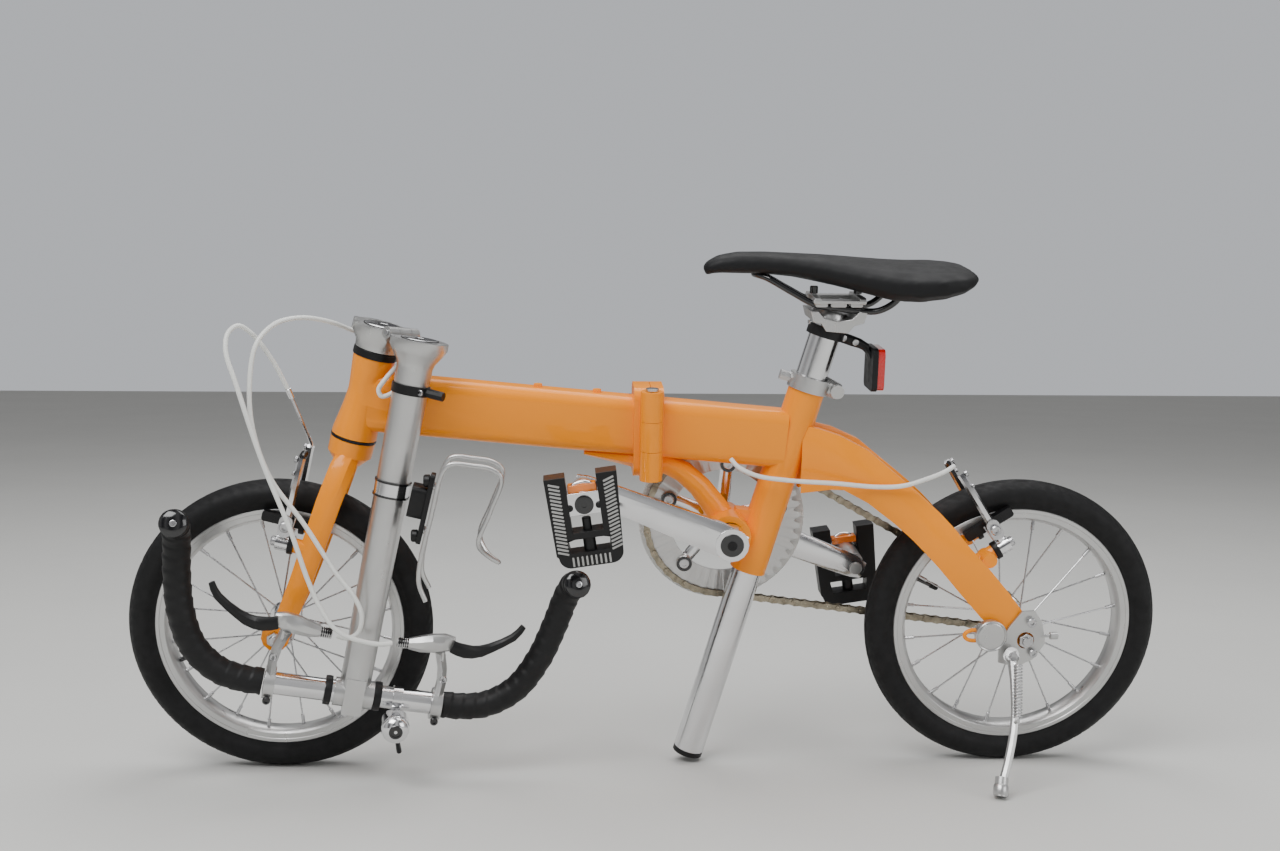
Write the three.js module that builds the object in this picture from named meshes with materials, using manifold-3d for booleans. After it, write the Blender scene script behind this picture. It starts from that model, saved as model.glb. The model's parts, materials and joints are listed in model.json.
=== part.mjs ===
// Folding bicycle with 14-inch wheels: the handlepost is folded down beside the front wheel, the saddle is
// lowered and the bicycle leans on its kickstand.
//
// Everything is drawn in the bicycle's own upright frame: x runs to the rear, y to the drive side and z up,
// and the rear tyre touches the ground at 0, 0, 0. The last lines lean that frame on the kickstand and put
// the middle of the underside of its box at the origin.
import * as THREE from 'three';
import { mergeVertices } from 'three/addons/utils/BufferGeometryUtils.js';
import Module from 'manifold-3d';

const wasm = await Module();
wasm.setup();

// ---------------------------------------------------------------- driving dimensions, millimetres and degrees
const CLEARANCE = 0.3;
const LEAN = 8.63;
const WHEELBASE = 805.6;
const WHEEL_RADIUS = 163.5;
const TYRE_HALF_WIDTH = 18;
const RIM_RADIUS = 132.2;
const RIM_DEPTH = 17;
const RIM_HALF_WIDTH = 12;
const SPOKES_PER_SIDE = 10;
const WHEEL_SEGMENTS = 36;

const HEAD_ANGLE = 15.4;
const HEAD_TOP = [-699.1, 0, 460];
const HEAD_TUBE_LENGTH = 87.8;
const HEAD_RING = 8.5;
const BASE_TOP = 34.8;
const FLANGE_RADIUS = 30;

const POST_HINGE_ANGLE = 48.7;
const POST_HINGE_OFFSET = 28.7;
const POST_FOLD = 174.36;
const POST_LENGTH = 384;
const BAR_RADIUS = 11.8;
const TAPE_RADIUS = 14.5;
const TAPE_START = 95;

const TUBE_HEIGHT = 63;
const TUBE_WIDTH = 40;
const TUBE_SLOPE = 5.06;
const TUBE_MIDDLE = [-500, 0, 394.6];
const HINGE_X = -408;
const HINGE_PIN = [-408, -34];
const HINGE_BOTTOM = 335;
const HINGE_TOP = 431;

const SEAT_ANGLE = 15.96;
const SEAT_TUBE_TOP = [-239.6, 0, 426.3];
const SEAT_TUBE_LENGTH = 209;
const SEAT_TUBE_RADIUS = 20;
const SEAT_POST_RADIUS = 16.95;
const SEAT_POST_DROP = 434;
const SEAT_POST_RISE = 78;

const CRANK_AXIS = [-322.5, 0, 271.5];
const CRANK_LENGTH = 170;
const CRANK_RISE = 22;
const CHAIN_LINE = 34;
const CHAIN_HALF_HEIGHT = 4;
const CHAINRING_RADIUS = 85;
const COG_RADIUS = 20.3;
const GUARD_RADIUS = 93;
const SPIDER_RADIUS = 65;

const PEDAL_TILT = 8.5;
const PEDAL_LENGTH = 94;
const PEDAL_WIDTH = 73;
const PEDAL_THICKNESS = 22;

const FRONT_AXLE = [-WHEELBASE, 0, WHEEL_RADIUS];
const REAR_AXLE = [0, 0, WHEEL_RADIUS];
const FRONT_DROPOUT_Y = 38;
const REAR_DROPOUT_Y = 49;

// ---------------------------------------------------------------- vectors
const V = (x, y, z) => new THREE.Vector3(x, y, z);
const vec = (p) => (p.isVector3 ? p.clone() : V(p[0], p[1], p[2]));
const rad = THREE.MathUtils.degToRad;
const X = V(1, 0, 0);
const Y = V(0, 1, 0);
const Z = V(0, 0, 1);
const SIDES = { left: -1, right: 1 };

const steerAxis = V(Math.sin(rad(HEAD_ANGLE)), 0, Math.cos(rad(HEAD_ANGLE)));
const steerRear = V(Math.cos(rad(HEAD_ANGLE)), 0, -Math.sin(rad(HEAD_ANGLE)));
const seatAxis = V(Math.sin(rad(SEAT_ANGLE)), 0, Math.cos(rad(SEAT_ANGLE)));
const alongHead = (distance) => vec(HEAD_TOP).addScaledVector(steerAxis, distance);
const alongSeat = (distance) => vec(SEAT_TUBE_TOP).addScaledVector(seatAxis, distance);

// ---------------------------------------------------------------- solids
function solidOf(shape) {
  if (!shape.isBufferGeometry) return shape;
  const bare = shape.clone();
  bare.deleteAttribute('normal');
  bare.deleteAttribute('uv');
  const merged = mergeVertices(bare, 1e-4);
  const index = merged.index.array;
  const triangles = [];
  for (let i = 0; i < index.length; i += 3) {
    const [a, b, c] = [index[i], index[i + 1], index[i + 2]];
    if (a !== b && b !== c && c !== a) triangles.push(a, b, c);
  }
  const mesh = new wasm.Mesh({
    numProp: 3,
    vertProperties: new Float32Array(merged.attributes.position.array),
    triVerts: new Uint32Array(triangles),
  });
  return new wasm.Manifold(mesh);
}

function geometryOf(shape) {
  if (shape.isBufferGeometry) return shape;
  const mesh = shape.getMesh();
  const geometry = new THREE.BufferGeometry();
  geometry.setAttribute('position', new THREE.BufferAttribute(new Float32Array(mesh.vertProperties), 3));
  geometry.setIndex(new THREE.BufferAttribute(new Uint32Array(mesh.triVerts), 1));
  return geometry;
}

const join = (...shapes) => shapes.map(solidOf).reduce((sum, shape) => sum.add(shape));
const cut = (body, ...tools) => tools.map(solidOf).reduce((rest, tool) => rest.subtract(tool), solidOf(body));

// A shape drawn about its own z axis, moved to a point with that axis along a direction.
function aimed(geometry, origin, direction, sideways = Y) {
  const zAxis = vec(direction).normalize();
  const xAxis = vec(sideways).cross(zAxis);
  if (xAxis.length() < 1e-6) xAxis.copy(X);
  xAxis.normalize();
  const yAxis = zAxis.clone().cross(xAxis);
  const matrix = new THREE.Matrix4().makeBasis(xAxis, yAxis, zAxis).setPosition(vec(origin));
  return geometry.applyMatrix4(matrix);
}

// A solid of revolution about z; the profile is [radius, height] points.
function turned(profile, segments = 16) {
  const points = profile.map(([radius, height]) => new THREE.Vector2(radius, height));
  if (THREE.ShapeUtils.area(points) < 0) points.reverse();
  return new THREE.LatheGeometry(points, segments).rotateX(Math.PI / 2);
}

const ringProfile = (inner, outer, low, high) => [[inner, low], [outer, low], [outer, high], [inner, high], [inner, low]];
const ring = (inner, outer, low, high, segments = 16) => turned(ringProfile(inner, outer, low, high), segments);

function rod(from, to, radius, sides = 12, endRadius = radius) {
  const start = vec(from);
  const axis = vec(to).sub(start);
  const shape = new THREE.CylinderGeometry(endRadius, radius, axis.length(), sides).rotateX(Math.PI / 2);
  shape.translate(0, 0, axis.length() / 2);
  return aimed(shape, start, axis);
}

function block(low, high) {
  const size = vec(high).sub(vec(low));
  const middle = vec(low).add(vec(high)).multiplyScalar(0.5);
  return new THREE.BoxGeometry(size.x, size.y, size.z).translate(middle.x, middle.y, middle.z);
}

function roundedOutline(width, height, corner) {
  const [w, h] = [width / 2 - corner, height / 2 - corner];
  const shape = new THREE.Shape();
  shape.absarc(w, h, corner, 0, Math.PI / 2);
  shape.absarc(-w, h, corner, Math.PI / 2, Math.PI);
  shape.absarc(-w, -h, corner, Math.PI, 1.5 * Math.PI);
  shape.absarc(w, -h, corner, 1.5 * Math.PI, 2 * Math.PI);
  return shape;
}

const slab = (shape, depth, curveSegments = 3) =>
  new THREE.ExtrudeGeometry(shape, { depth, bevelEnabled: false, curveSegments });

// A round bar or wire along a smooth curve.
function pipe(points, radius, sides = 10, steps = 24) {
  const path = new THREE.CatmullRomCurve3(points.map(vec), false, 'centripetal');
  const corners = [];
  for (let i = 0; i < sides; i += 1) {
    const angle = (2 * Math.PI * i) / sides;
    corners.push(new THREE.Vector2(radius * Math.cos(angle), radius * Math.sin(angle)));
  }
  return new THREE.ExtrudeGeometry(new THREE.Shape(corners), { steps, extrudePath: path });
}

// A closed skin over rings of points that all have the same count.
function skinned(rings) {
  const sides = rings[0].length;
  const positions = rings.flat().flatMap((point) => [point.x, point.y, point.z]);
  const index = [];
  for (let r = 0; r < rings.length - 1; r += 1) {
    for (let i = 0; i < sides; i += 1) {
      const [a, b] = [r * sides + i, r * sides + ((i + 1) % sides)];
      index.push(a, b, b + sides, a, b + sides, a + sides);
    }
  }
  const last = (rings.length - 1) * sides;
  for (let i = 1; i < sides - 1; i += 1) {
    index.push(0, i + 1, i);
    index.push(last, last + i, last + i + 1);
  }
  const geometry = new THREE.BufferGeometry();
  geometry.setAttribute('position', new THREE.Float32BufferAttribute(positions, 3));
  geometry.setIndex(index);
  return geometry;
}

// A bar of changing oval section: stations are [x, y, z, half width, half height]. The width lies along
// `across`, and a squareness over 1 fills out the corners of the oval.
function swept(stations, { sides = 12, steps = 12, across = Y, squareness = 1 } = {}) {
  const path = new THREE.CatmullRomCurve3(stations.map((s) => V(s[0], s[1], s[2])), false, 'centripetal');
  const power = (value) => Math.sign(value) * Math.abs(value) ** (1 / squareness);
  const rings = [];
  for (let step = 0; step <= steps; step += 1) {
    const t = step / steps;
    const place = t * (stations.length - 1);
    const k = Math.min(Math.floor(place), stations.length - 2);
    const halfWidth = THREE.MathUtils.lerp(stations[k][3], stations[k + 1][3], place - k);
    const halfHeight = THREE.MathUtils.lerp(stations[k][4], stations[k + 1][4], place - k);
    const middle = path.getPoint(t);
    const along = path.getTangent(t);
    const wide = vec(across).addScaledVector(along, -vec(across).dot(along)).normalize();
    const tall = along.clone().cross(wide);
    const section = [];
    for (let i = 0; i < sides; i += 1) {
      const angle = (2 * Math.PI * (i + 0.5)) / sides;
      section.push(middle.clone()
        .addScaledVector(wide, halfWidth * power(Math.cos(angle)))
        .addScaledVector(tall, halfHeight * power(Math.sin(angle))));
    }
    rings.push(section);
  }
  return skinned(rings);
}

// ---------------------------------------------------------------- finishes
const finish = (color, roughness, metalness) => ({ color, roughness, metalness });
const PAINT = finish(0xff9c10, 0.28, 0.0);
const SATIN = finish(0xc4c5c3, 0.42, 0.75);
const POLISHED = finish(0xd9dadb, 0.16, 1.0);
const STEEL = finish(0x9b9c9e, 0.35, 0.9);
const CHAIN_METAL = finish(0xa39c88, 0.4, 0.85);
const BLACK_PLASTIC = finish(0x16161a, 0.45, 0.0);
const RUBBER = finish(0x1b1b1c, 0.8, 0.0);
const COVER = finish(0x1d1e21, 0.62, 0.0);
const WRAP = finish(0x18181a, 0.7, 0.0);
const HOUSING = finish(0xe9eaea, 0.35, 0.0);
const GUARD = finish(0xe6e7e6, 0.3, 0.1);
const RED_LENS = finish(0xc0201c, 0.2, 0.0);

const bicycle = new THREE.Group();

function part(name, shape, look, parent = bicycle) {
  const mesh = new THREE.Mesh(geometryOf(shape), new THREE.MeshStandardMaterial(look));
  mesh.name = name;
  parent.add(mesh);
  return mesh;
}

// ---------------------------------------------------------------- wheels
// All wheel shapes are turned about z and then laid on their side, so that their axle runs along y.
const wheelShape = (geometry, axle) => aimed(geometry, axle, Y, Z);

function tyre(axle) {
  const crown = WHEEL_RADIUS;
  const profile = [
    [RIM_RADIUS + CLEARANCE, -10], [crown - 13, -TYRE_HALF_WIDTH], [crown - 5, -13],
    [crown, -4], [crown, 4], [crown - 5, 13], [crown - 13, TYRE_HALF_WIDTH],
    [RIM_RADIUS + CLEARANCE, 10], [RIM_RADIUS + 8, 8], [RIM_RADIUS + 8, -8], [RIM_RADIUS + CLEARANCE, -10],
  ];
  return wheelShape(turned(profile, WHEEL_SEGMENTS), axle);
}

function rim(axle) {
  const inner = RIM_RADIUS - RIM_DEPTH;
  const profile = [
    [inner + 4, -RIM_HALF_WIDTH], [RIM_RADIUS, -RIM_HALF_WIDTH], [RIM_RADIUS, RIM_HALF_WIDTH],
    [inner + 4, RIM_HALF_WIDTH], [inner, 7], [inner, -7], [inner + 4, -RIM_HALF_WIDTH],
  ];
  return wheelShape(turned(profile, WHEEL_SEGMENTS), axle);
}

// Hub shell with two spoke flanges, bored for its axle, and its spokes up to the rim.
function hub(axle, flangeY, shellRadius, flangeRadius) {
  const bore = 5.4;
  const edge = flangeY + 3;
  const profile = [
    [bore, -edge - 5], [8, -edge - 5], [8, -edge], [flangeRadius, -edge], [flangeRadius, -flangeY],
    [shellRadius, -flangeY + 3], [shellRadius, flangeY - 3], [flangeRadius, flangeY], [flangeRadius, edge],
    [8, edge], [8, edge + 5], [bore, edge + 5], [bore, -edge - 5],
  ];
  const spokes = [];
  const rimEnd = RIM_RADIUS - RIM_DEPTH - 1.2;
  for (const side of [-1, 1]) {
    for (let i = 0; i < SPOKES_PER_SIDE; i += 1) {
      const angle = (2 * Math.PI * (i + 0.25 * side)) / SPOKES_PER_SIDE;
      const outward = V(Math.cos(angle), Math.sin(angle), 0);
      const from = outward.clone().multiplyScalar(flangeRadius - 3).setZ(side * (flangeY + 1.5));
      const to = outward.clone().multiplyScalar(rimEnd).setZ(side * 3);
      spokes.push(rod(from, to, 1.2, 3));
    }
  }
  return wheelShape(geometryOf(join(turned(profile, 12), ...spokes)), axle);
}

function axleWithNuts(axle, dropoutY, thickness) {
  const outside = dropoutY + thickness + CLEARANCE;
  const shaft = new THREE.CylinderGeometry(4.9, 4.9, 2 * (outside + 10), 12);
  const nuts = [-1, 1].map((side) => new THREE.CylinderGeometry(8.5, 8.5, 7, 6).translate(0, side * (outside + 3.5), 0));
  return geometryOf(join(shaft, ...nuts)).translate(axle[0], axle[1], axle[2]);
}

part('front_tyre', tyre(FRONT_AXLE), RUBBER);
part('front_rim', rim(FRONT_AXLE), SATIN);
part('front_hub', hub(FRONT_AXLE, 24, 11, 18), POLISHED);
part('front_axle', axleWithNuts(FRONT_AXLE, FRONT_DROPOUT_Y, 5), STEEL);
part('rear_tyre', tyre(REAR_AXLE), RUBBER);
part('rear_rim', rim(REAR_AXLE), SATIN);
part('rear_hub', hub(REAR_AXLE, 25, 15, 22), POLISHED);
part('rear_axle', axleWithNuts(REAR_AXLE, REAR_DROPOUT_Y, 9), STEEL);

// ---------------------------------------------------------------- front half of the frame
const tubeMiddleZ = (x) => TUBE_MIDDLE[2] - (x - TUBE_MIDDLE[0]) * Math.tan(rad(TUBE_SLOPE));

function mainTube(fromX, toX) {
  const start = V(fromX, 0, tubeMiddleZ(fromX));
  const end = V(toX, 0, tubeMiddleZ(toX));
  const outline = roundedOutline(TUBE_WIDTH, TUBE_HEIGHT, 13);
  return aimed(slab(outline, start.distanceTo(end)), start, end.clone().sub(start), Z.clone().negate());
}

// One half of the frame hinge: a thick plate whose knuckles share the upright pin on the near side.
const KNUCKLE_COUNT = 3;
const KNUCKLE_RADIUS = 12;
const PIN_RADIUS = 4;

function hingeHalf(fromX, toX, firstKnuckle) {
  const [pinX, pinY] = HINGE_PIN;
  const height = HINGE_TOP - HINGE_BOTTOM;
  const pitch = height / KNUCKLE_COUNT;
  const outline = roundedOutline(58, height, 12);
  const plate = aimed(slab(outline, toX - fromX), [fromX, 3, (HINGE_TOP + HINGE_BOTTOM) / 2], X, Z.clone().negate());
  const upright = (radius, low, high) => rod([pinX, pinY, low], [pinX, pinY, high], radius, 12);
  const own = [];
  const others = [];
  for (let i = 0; i < KNUCKLE_COUNT; i += 1) {
    const low = HINGE_BOTTOM + i * pitch;
    if (i % 2 === firstKnuckle) {
      own.push(upright(KNUCKLE_RADIUS, low + 0.2, low + pitch - 0.2));
    } else {
      others.push(upright(KNUCKLE_RADIUS + 0.5, low - 0.2, low + pitch + 0.2));
    }
  }
  const pinHole = upright(PIN_RADIUS + CLEARANCE, HINGE_BOTTOM - 5, HINGE_TOP + 5);
  return cut(join(cut(plate, ...others), ...own), pinHole);
}

const headTubeProfile = [
  [18.3, 0], [22.4, 0], [20.8, -38], [24, -80], [24.2, -HEAD_TUBE_LENGTH],
  [18.3, -HEAD_TUBE_LENGTH], [18.3, 0],
];
const headTube = aimed(turned(headTubeProfile, 16), HEAD_TOP, steerAxis);
const headBore = rod(alongHead(5), alongHead(-HEAD_TUBE_LENGTH - 5), 18.3, 16);
const topBosses = [-527.5, -464.7].map((x) => {
  const top = tubeMiddleZ(x) + TUBE_HEIGHT / 2;
  return rod([x, 0, top - 4], [x, 0, top + 3.5], 4.5, 8);
});
const underGusset = swept([[-478, 0, 358, 8, 3], [-450, 0, 355, 12, 7], [-424, 0, 352, 14, 11]], { sides: 8, steps: 3 });
const frontTube = cut(mainTube(-712, HINGE_X - 5), headBore);
const hingeFront = hingeHalf(-426, HINGE_X - CLEARANCE, 0);
part('front_frame', join(frontTube, headTube, hingeFront, underGusset, ...topBosses), PAINT);

part('hinge_pin', join(
  rod([...HINGE_PIN, HINGE_BOTTOM - 1], [...HINGE_PIN, HINGE_TOP + 1], PIN_RADIUS, 16),
  rod([...HINGE_PIN, HINGE_TOP + CLEARANCE], [...HINGE_PIN, HINGE_TOP + 3], 7, 16),
), STEEL);

// The frame latch: a lever on the far side of the hinge that lies forward along the tube when closed.
const LATCH_PIVOT = [-417, 42, 388];
part('frame_latch', join(
  rod([LATCH_PIVOT[0], LATCH_PIVOT[1], 372], [LATCH_PIVOT[0], LATCH_PIVOT[1], 404], 9, 16),
  swept([[-417, 42, 388, 6, 11], [-450, 40, 390, 5, 11], [-505, 38, 393, 4, 9]], { sides: 8, steps: 4 }),
), SATIN);

// ---------------------------------------------------------------- headset, fork and handlepost base
const headsetProfile = [
  [15.2, HEAD_RING - CLEARANCE], [15.2, -HEAD_TUBE_LENGTH - 3.4], [24.4, -HEAD_TUBE_LENGTH - 3.4],
  [24.4, -HEAD_TUBE_LENGTH - CLEARANCE], [17.9, -HEAD_TUBE_LENGTH - CLEARANCE], [17.9, CLEARANCE],
  [23.4, CLEARANCE], [23.4, HEAD_RING - CLEARANCE], [15.2, HEAD_RING - CLEARANCE],
];
part('headset', aimed(turned(headsetProfile, 16), HEAD_TOP, steerAxis), BLACK_PLASTIC);

const CROWN_TOP = -HEAD_TUBE_LENGTH - 3.8;
const steererProfile = [[0, 20], [14.7, 20], [14.7, CROWN_TOP], [24, CROWN_TOP], [23.5, -108], [15, -118], [0, -118]];

function forkBlade(side) {
  const stations = [
    [-727, side * 9, 357, 12, 13], [-737, side * 27, 335, 10, 14.5], [-760, side * 36, 272, 9, 13.5],
    [-780, side * 38, 218, 8, 12.5], [-796, side * 40.4, 180, 3.2, 12], [-802, side * 40.5, 170, 2.4, 11],
  ];
  return swept(stations, { sides: 8, steps: 7 });
}

const dropout = (axle, side, low, thickness, radius) => {
  const [near, far] = [side * low, side * (low + thickness)];
  return rod([axle[0], near, axle[2]], [axle[0], far, axle[2]], radius, 12);
};
const axleHole = (axle) => rod([axle[0], -90, axle[2]], [axle[0], 90, axle[2]], 5.2, 12);

// Rim brakes stand on two bosses. `foot` is the middle between the boss tips, `up` runs along the arms
// and `out` points away from the frame.
const brakes = {
  front: { foot: V(-795, 0, 267), up: V(0.24, 0, 0.97).normalize(), out: V(-0.97, 0, 0.24).normalize(), padRise: 20 },
  rear: { foot: V(-24, 0, 262.5), up: V(-0.54, 0, 0.842).normalize(), out: V(0.842, 0, 0.54).normalize(), padRise: 23.5 },
};
const BOSS_Y = 36;

function brakeBoss({ foot, out }, side, depth) {
  const tip = foot.clone().addScaledVector(Y, side * BOSS_Y);
  return join(
    rod(tip.clone().addScaledVector(out, -depth), tip.clone().addScaledVector(out, -6), 8, 12),
    rod(tip.clone().addScaledVector(out, -8), tip.clone().addScaledVector(out, 8), 3.4, 8),
  );
}

const forkPieces = [-1, 1].flatMap((side) => [
  forkBlade(side),
  dropout(FRONT_AXLE, side, FRONT_DROPOUT_Y, 5, 15),
  brakeBoss(brakes.front, side, 34),
]);
const forkBody = join(aimed(turned(steererProfile, 16), HEAD_TOP, steerAxis), ...forkPieces);
part('fork', cut(forkBody, axleHole(FRONT_AXLE)), PAINT);

// The hinge between the base and the handlepost lies in the base's top plane. Local axes here are
// x to the rear, y to the drive side and z along the steering axis, from the middle of that plane.
const hingeAlong = V(Math.cos(rad(POST_HINGE_ANGLE)), Math.sin(rad(POST_HINGE_ANGLE)), 0);
const hingeOut = V(Math.sin(rad(POST_HINGE_ANGLE)), -Math.cos(rad(POST_HINGE_ANGLE)), 0);
const postPin = hingeOut.clone().multiplyScalar(POST_HINGE_OFFSET);
const postKnuckle = (from, to, radius) =>
  rod(postPin.clone().addScaledVector(hingeAlong, from), postPin.clone().addScaledVector(hingeAlong, to), radius, 12);
const POST_KNUCKLES = [-20, -7, 10, 22];
const POST_KNUCKLE_RADIUS = 6.5;

function flangeBeyondPin(low, high) {
  const far = new THREE.BoxGeometry(60, 120, high - low);
  far.translate(0, 0, (low + high) / 2);
  far.rotateZ(Math.atan2(hingeOut.y, hingeOut.x));
  return far.translate(hingeOut.x * (POST_HINGE_OFFSET + 27), hingeOut.y * (POST_HINGE_OFFSET + 27), 0);
}

const [knuckleA, knuckleB, knuckleC, knuckleD] = POST_KNUCKLES;
const baseProfile = [
  [0, -13], [15.1, -13], [15.1, HEAD_RING - BASE_TOP + CLEARANCE],
  [22.8, HEAD_RING - BASE_TOP + CLEARANCE], [23.4, -20], [FLANGE_RADIUS, -10], [FLANGE_RADIUS, -CLEARANCE],
  [0, -CLEARANCE],
];
const baseCup = cut(
  join(
    cut(turned(baseProfile, 16), flangeBeyondPin(-12, 2)),
    postKnuckle(knuckleA, knuckleB - 0.2, POST_KNUCKLE_RADIUS),
    postKnuckle(knuckleC + 0.2, knuckleD, POST_KNUCKLE_RADIUS),
  ),
  postKnuckle(knuckleB - 0.2, knuckleC + 0.2, POST_KNUCKLE_RADIUS + 0.5),
  postKnuckle(-30, 30, 3.3),
);
const steering = new THREE.Group();
steering.matrixAutoUpdate = false;
const steeringPlace = new THREE.Matrix4().makeBasis(steerRear, Y, steerAxis).setPosition(alongHead(BASE_TOP));
steering.matrix.copy(steeringPlace);
bicycle.add(steering);
part('handlepost_base', baseCup, SATIN, steering);
part('handlepost_hinge_pin', postKnuckle(knuckleA - 1.5, knuckleD + 1.5, 3), STEEL, steering);

// The post latch wraps round the far side of the base and swings out level with it.
function postLatch() {
  const start = Math.atan2(-hingeOut.y, -hingeOut.x);
  const points = [0, -14, -28, -42].map((turn) => {
    const angle = start + rad(turn);
    return [36.5 * Math.cos(angle), 36.5 * Math.sin(angle), -9, 3, 6];
  });
  const pivot = V(points[0][0], points[0][1], 0);
  return join(
    swept(points, { sides: 8, steps: 6, across: Z }),
    rod([pivot.x, pivot.y, -15], [pivot.x, pivot.y, -3], 5.5, 12),
  );
}
part('handlepost_latch', postLatch(), SATIN, steering);

// ---------------------------------------------------------------- handlepost, drawn upright and then folded
const post = new THREE.Group();
const foldTurn = new THREE.Matrix4().makeRotationAxis(hingeAlong, rad(POST_FOLD));
const foldPlace = new THREE.Matrix4().makeTranslation(postPin.x, postPin.y, postPin.z)
  .multiply(foldTurn)
  .multiply(new THREE.Matrix4().makeTranslation(-postPin.x, -postPin.y, -postPin.z));
post.matrixAutoUpdate = false;
post.matrix.copy(foldPlace);
steering.add(post);

const postProfile = [
  [0, CLEARANCE], [FLANGE_RADIUS, CLEARANCE], [FLANGE_RADIUS, 8], [26, 15], [20, 24], [18.5, 30],
  [16.2, POST_LENGTH - 22], [16.2, POST_LENGTH - 8], [0, POST_LENGTH - 8],
];
const barBore = rod([0, -60, POST_LENGTH], [0, 60, POST_LENGTH], BAR_RADIUS + CLEARANCE, 16);
const postBody = cut(
  join(
    cut(turned(postProfile, 16), flangeBeyondPin(-2, 12)),
    postKnuckle(knuckleB + 0.2, knuckleC - 0.2, POST_KNUCKLE_RADIUS),
    rod([0, -20.5, POST_LENGTH], [0, 20.5, POST_LENGTH], 15, 16),
    block([-17, -10, POST_LENGTH - 20], [17, 10, POST_LENGTH + 19]),
  ),
  postKnuckle(knuckleA - 4, knuckleB + 0.2, POST_KNUCKLE_RADIUS + 0.5),
  postKnuckle(knuckleC - 0.2, knuckleD + 4, POST_KNUCKLE_RADIUS + 0.5),
  postKnuckle(-30, 30, 3.3),
  barBore,
);
part('handlepost', postBody, SATIN, post);

part('handlebar', rod([0, -TAPE_START + 1, POST_LENGTH], [0, TAPE_START - 1, POST_LENGTH], BAR_RADIUS, 16), POLISHED, post);

// Each horn drops beside the wheel and turns forward at its end, under wrapped tape.
function tapedHorn(side) {
  const points = [
    [0, TAPE_START, 0], [0, 118, 1], [-1, 143, 8], [-1, 170, 29], [-1, 188, 64], [-1, 198, 104],
    [-5, 203, 138], [-17, 206, 157], [-36, 207, 163],
  ].map(([x, y, drop]) => [x, side * y, POST_LENGTH - drop]);
  return pipe(points, TAPE_RADIUS, 10, 13);
}

function leverBody(side) {
  const z = POST_LENGTH;
  const at = (x, y, rise) => [x, side * y, z - rise];
  const clamp = rod(at(0, 82.5, 0), at(0, 93.5, 0), 17, 16);
  const leg = swept([
    [...at(-4, 88, 12), 5.5, 9], [...at(-8, 88, 36), 5.5, 9], [...at(-13, 80, 64), 6, 11],
  ], { sides: 6, steps: 3 });
  const body = swept([
    [...at(-15, 94, 74), 7, 7], [...at(-15, 80, 73), 8, 11], [...at(-15, 62, 69), 8, 10], [...at(-15, 46, 67), 6, 6],
  ], { sides: 8, steps: 4, across: X });
  const adjuster = rod(at(-15, 48, 67), at(-15, 34, 66), 5.5, 8);
  const bore = rod(at(0, 75, 0), at(0, 99, 0), BAR_RADIUS + CLEARANCE, 16);
  const bladeSlot = block(
    [-30, Math.min(side * 82, side * 110), z - 90], [-19.6, Math.max(side * 82, side * 110), z - 54]);
  return cut(join(clamp, leg, body, adjuster), bore, bladeSlot);
}

// The blade's pivot is at the outer end of its body, and the blade curves up beyond it.
function brakeLever(side) {
  const at = (x, y, rise, wide, tall) => [x, side * y, POST_LENGTH - rise, wide, tall];
  const blade = swept([
    at(-24, 90, 73, 4, 7), at(-24, 103, 70, 5, 8), at(-21, 118, 70, 5, 7), at(-18, 136, 78, 4.5, 5),
    at(-18, 155, 92, 4, 4.5), at(-18, 162, 104, 3, 3.5),
  ], { sides: 8, steps: 9, across: X });
  return blade;
}

for (const [name, side] of Object.entries(SIDES)) {
  part(`${name}_bar_tape`, tapedHorn(side), WRAP, post);
  part(`${name}_lever_body`, leverBody(side), SATIN, post);
  part(`${name}_brake_lever`, brakeLever(side), BLACK_PLASTIC, post);
}

// A bell on a strap round the bar, with its striker under it.
const BELL_Y = 46;
const bellMiddle = [-30, BELL_Y + 1, POST_LENGTH + 20];
part('bell', cut(
  join(
    rod([0, BELL_Y - 5, POST_LENGTH], [0, BELL_Y + 5, POST_LENGTH], 14, 16),
    block([-26, BELL_Y - 4, POST_LENGTH + 8], [-8, BELL_Y + 4, POST_LENGTH + 22]),
    rod([-14, bellMiddle[1], bellMiddle[2]], [-40, bellMiddle[1], bellMiddle[2]], 14.5, 16),
  ),
  rod([0, 30, POST_LENGTH], [0, 60, POST_LENGTH], BAR_RADIUS + CLEARANCE, 16),
), POLISHED, post);
part('bell_striker', swept([
  [-22, BELL_Y + 6, POST_LENGTH + 36, 5, 2.5], [-22, BELL_Y + 11, POST_LENGTH + 50, 6, 3],
], { sides: 8, steps: 2, across: X }), BLACK_PLASTIC, post);

// Round bracket of the front reflector, a hand's width up the post.
const bracketOut = V(-0.5, 0.87, 0).normalize();
const bracketFoot = bracketOut.clone().multiplyScalar(19).setZ(52);
part('front_bracket', cut(
  join(
    ring(17.5, 20, 47, 57, 16),
    rod(bracketFoot, bracketOut.clone().multiplyScalar(38).setZ(52), 5, 8),
  ),
  turned([[0, 40], [18.8, 40], [18.6, 64], [0, 64]], 16),
), BLACK_PLASTIC, post);

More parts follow.
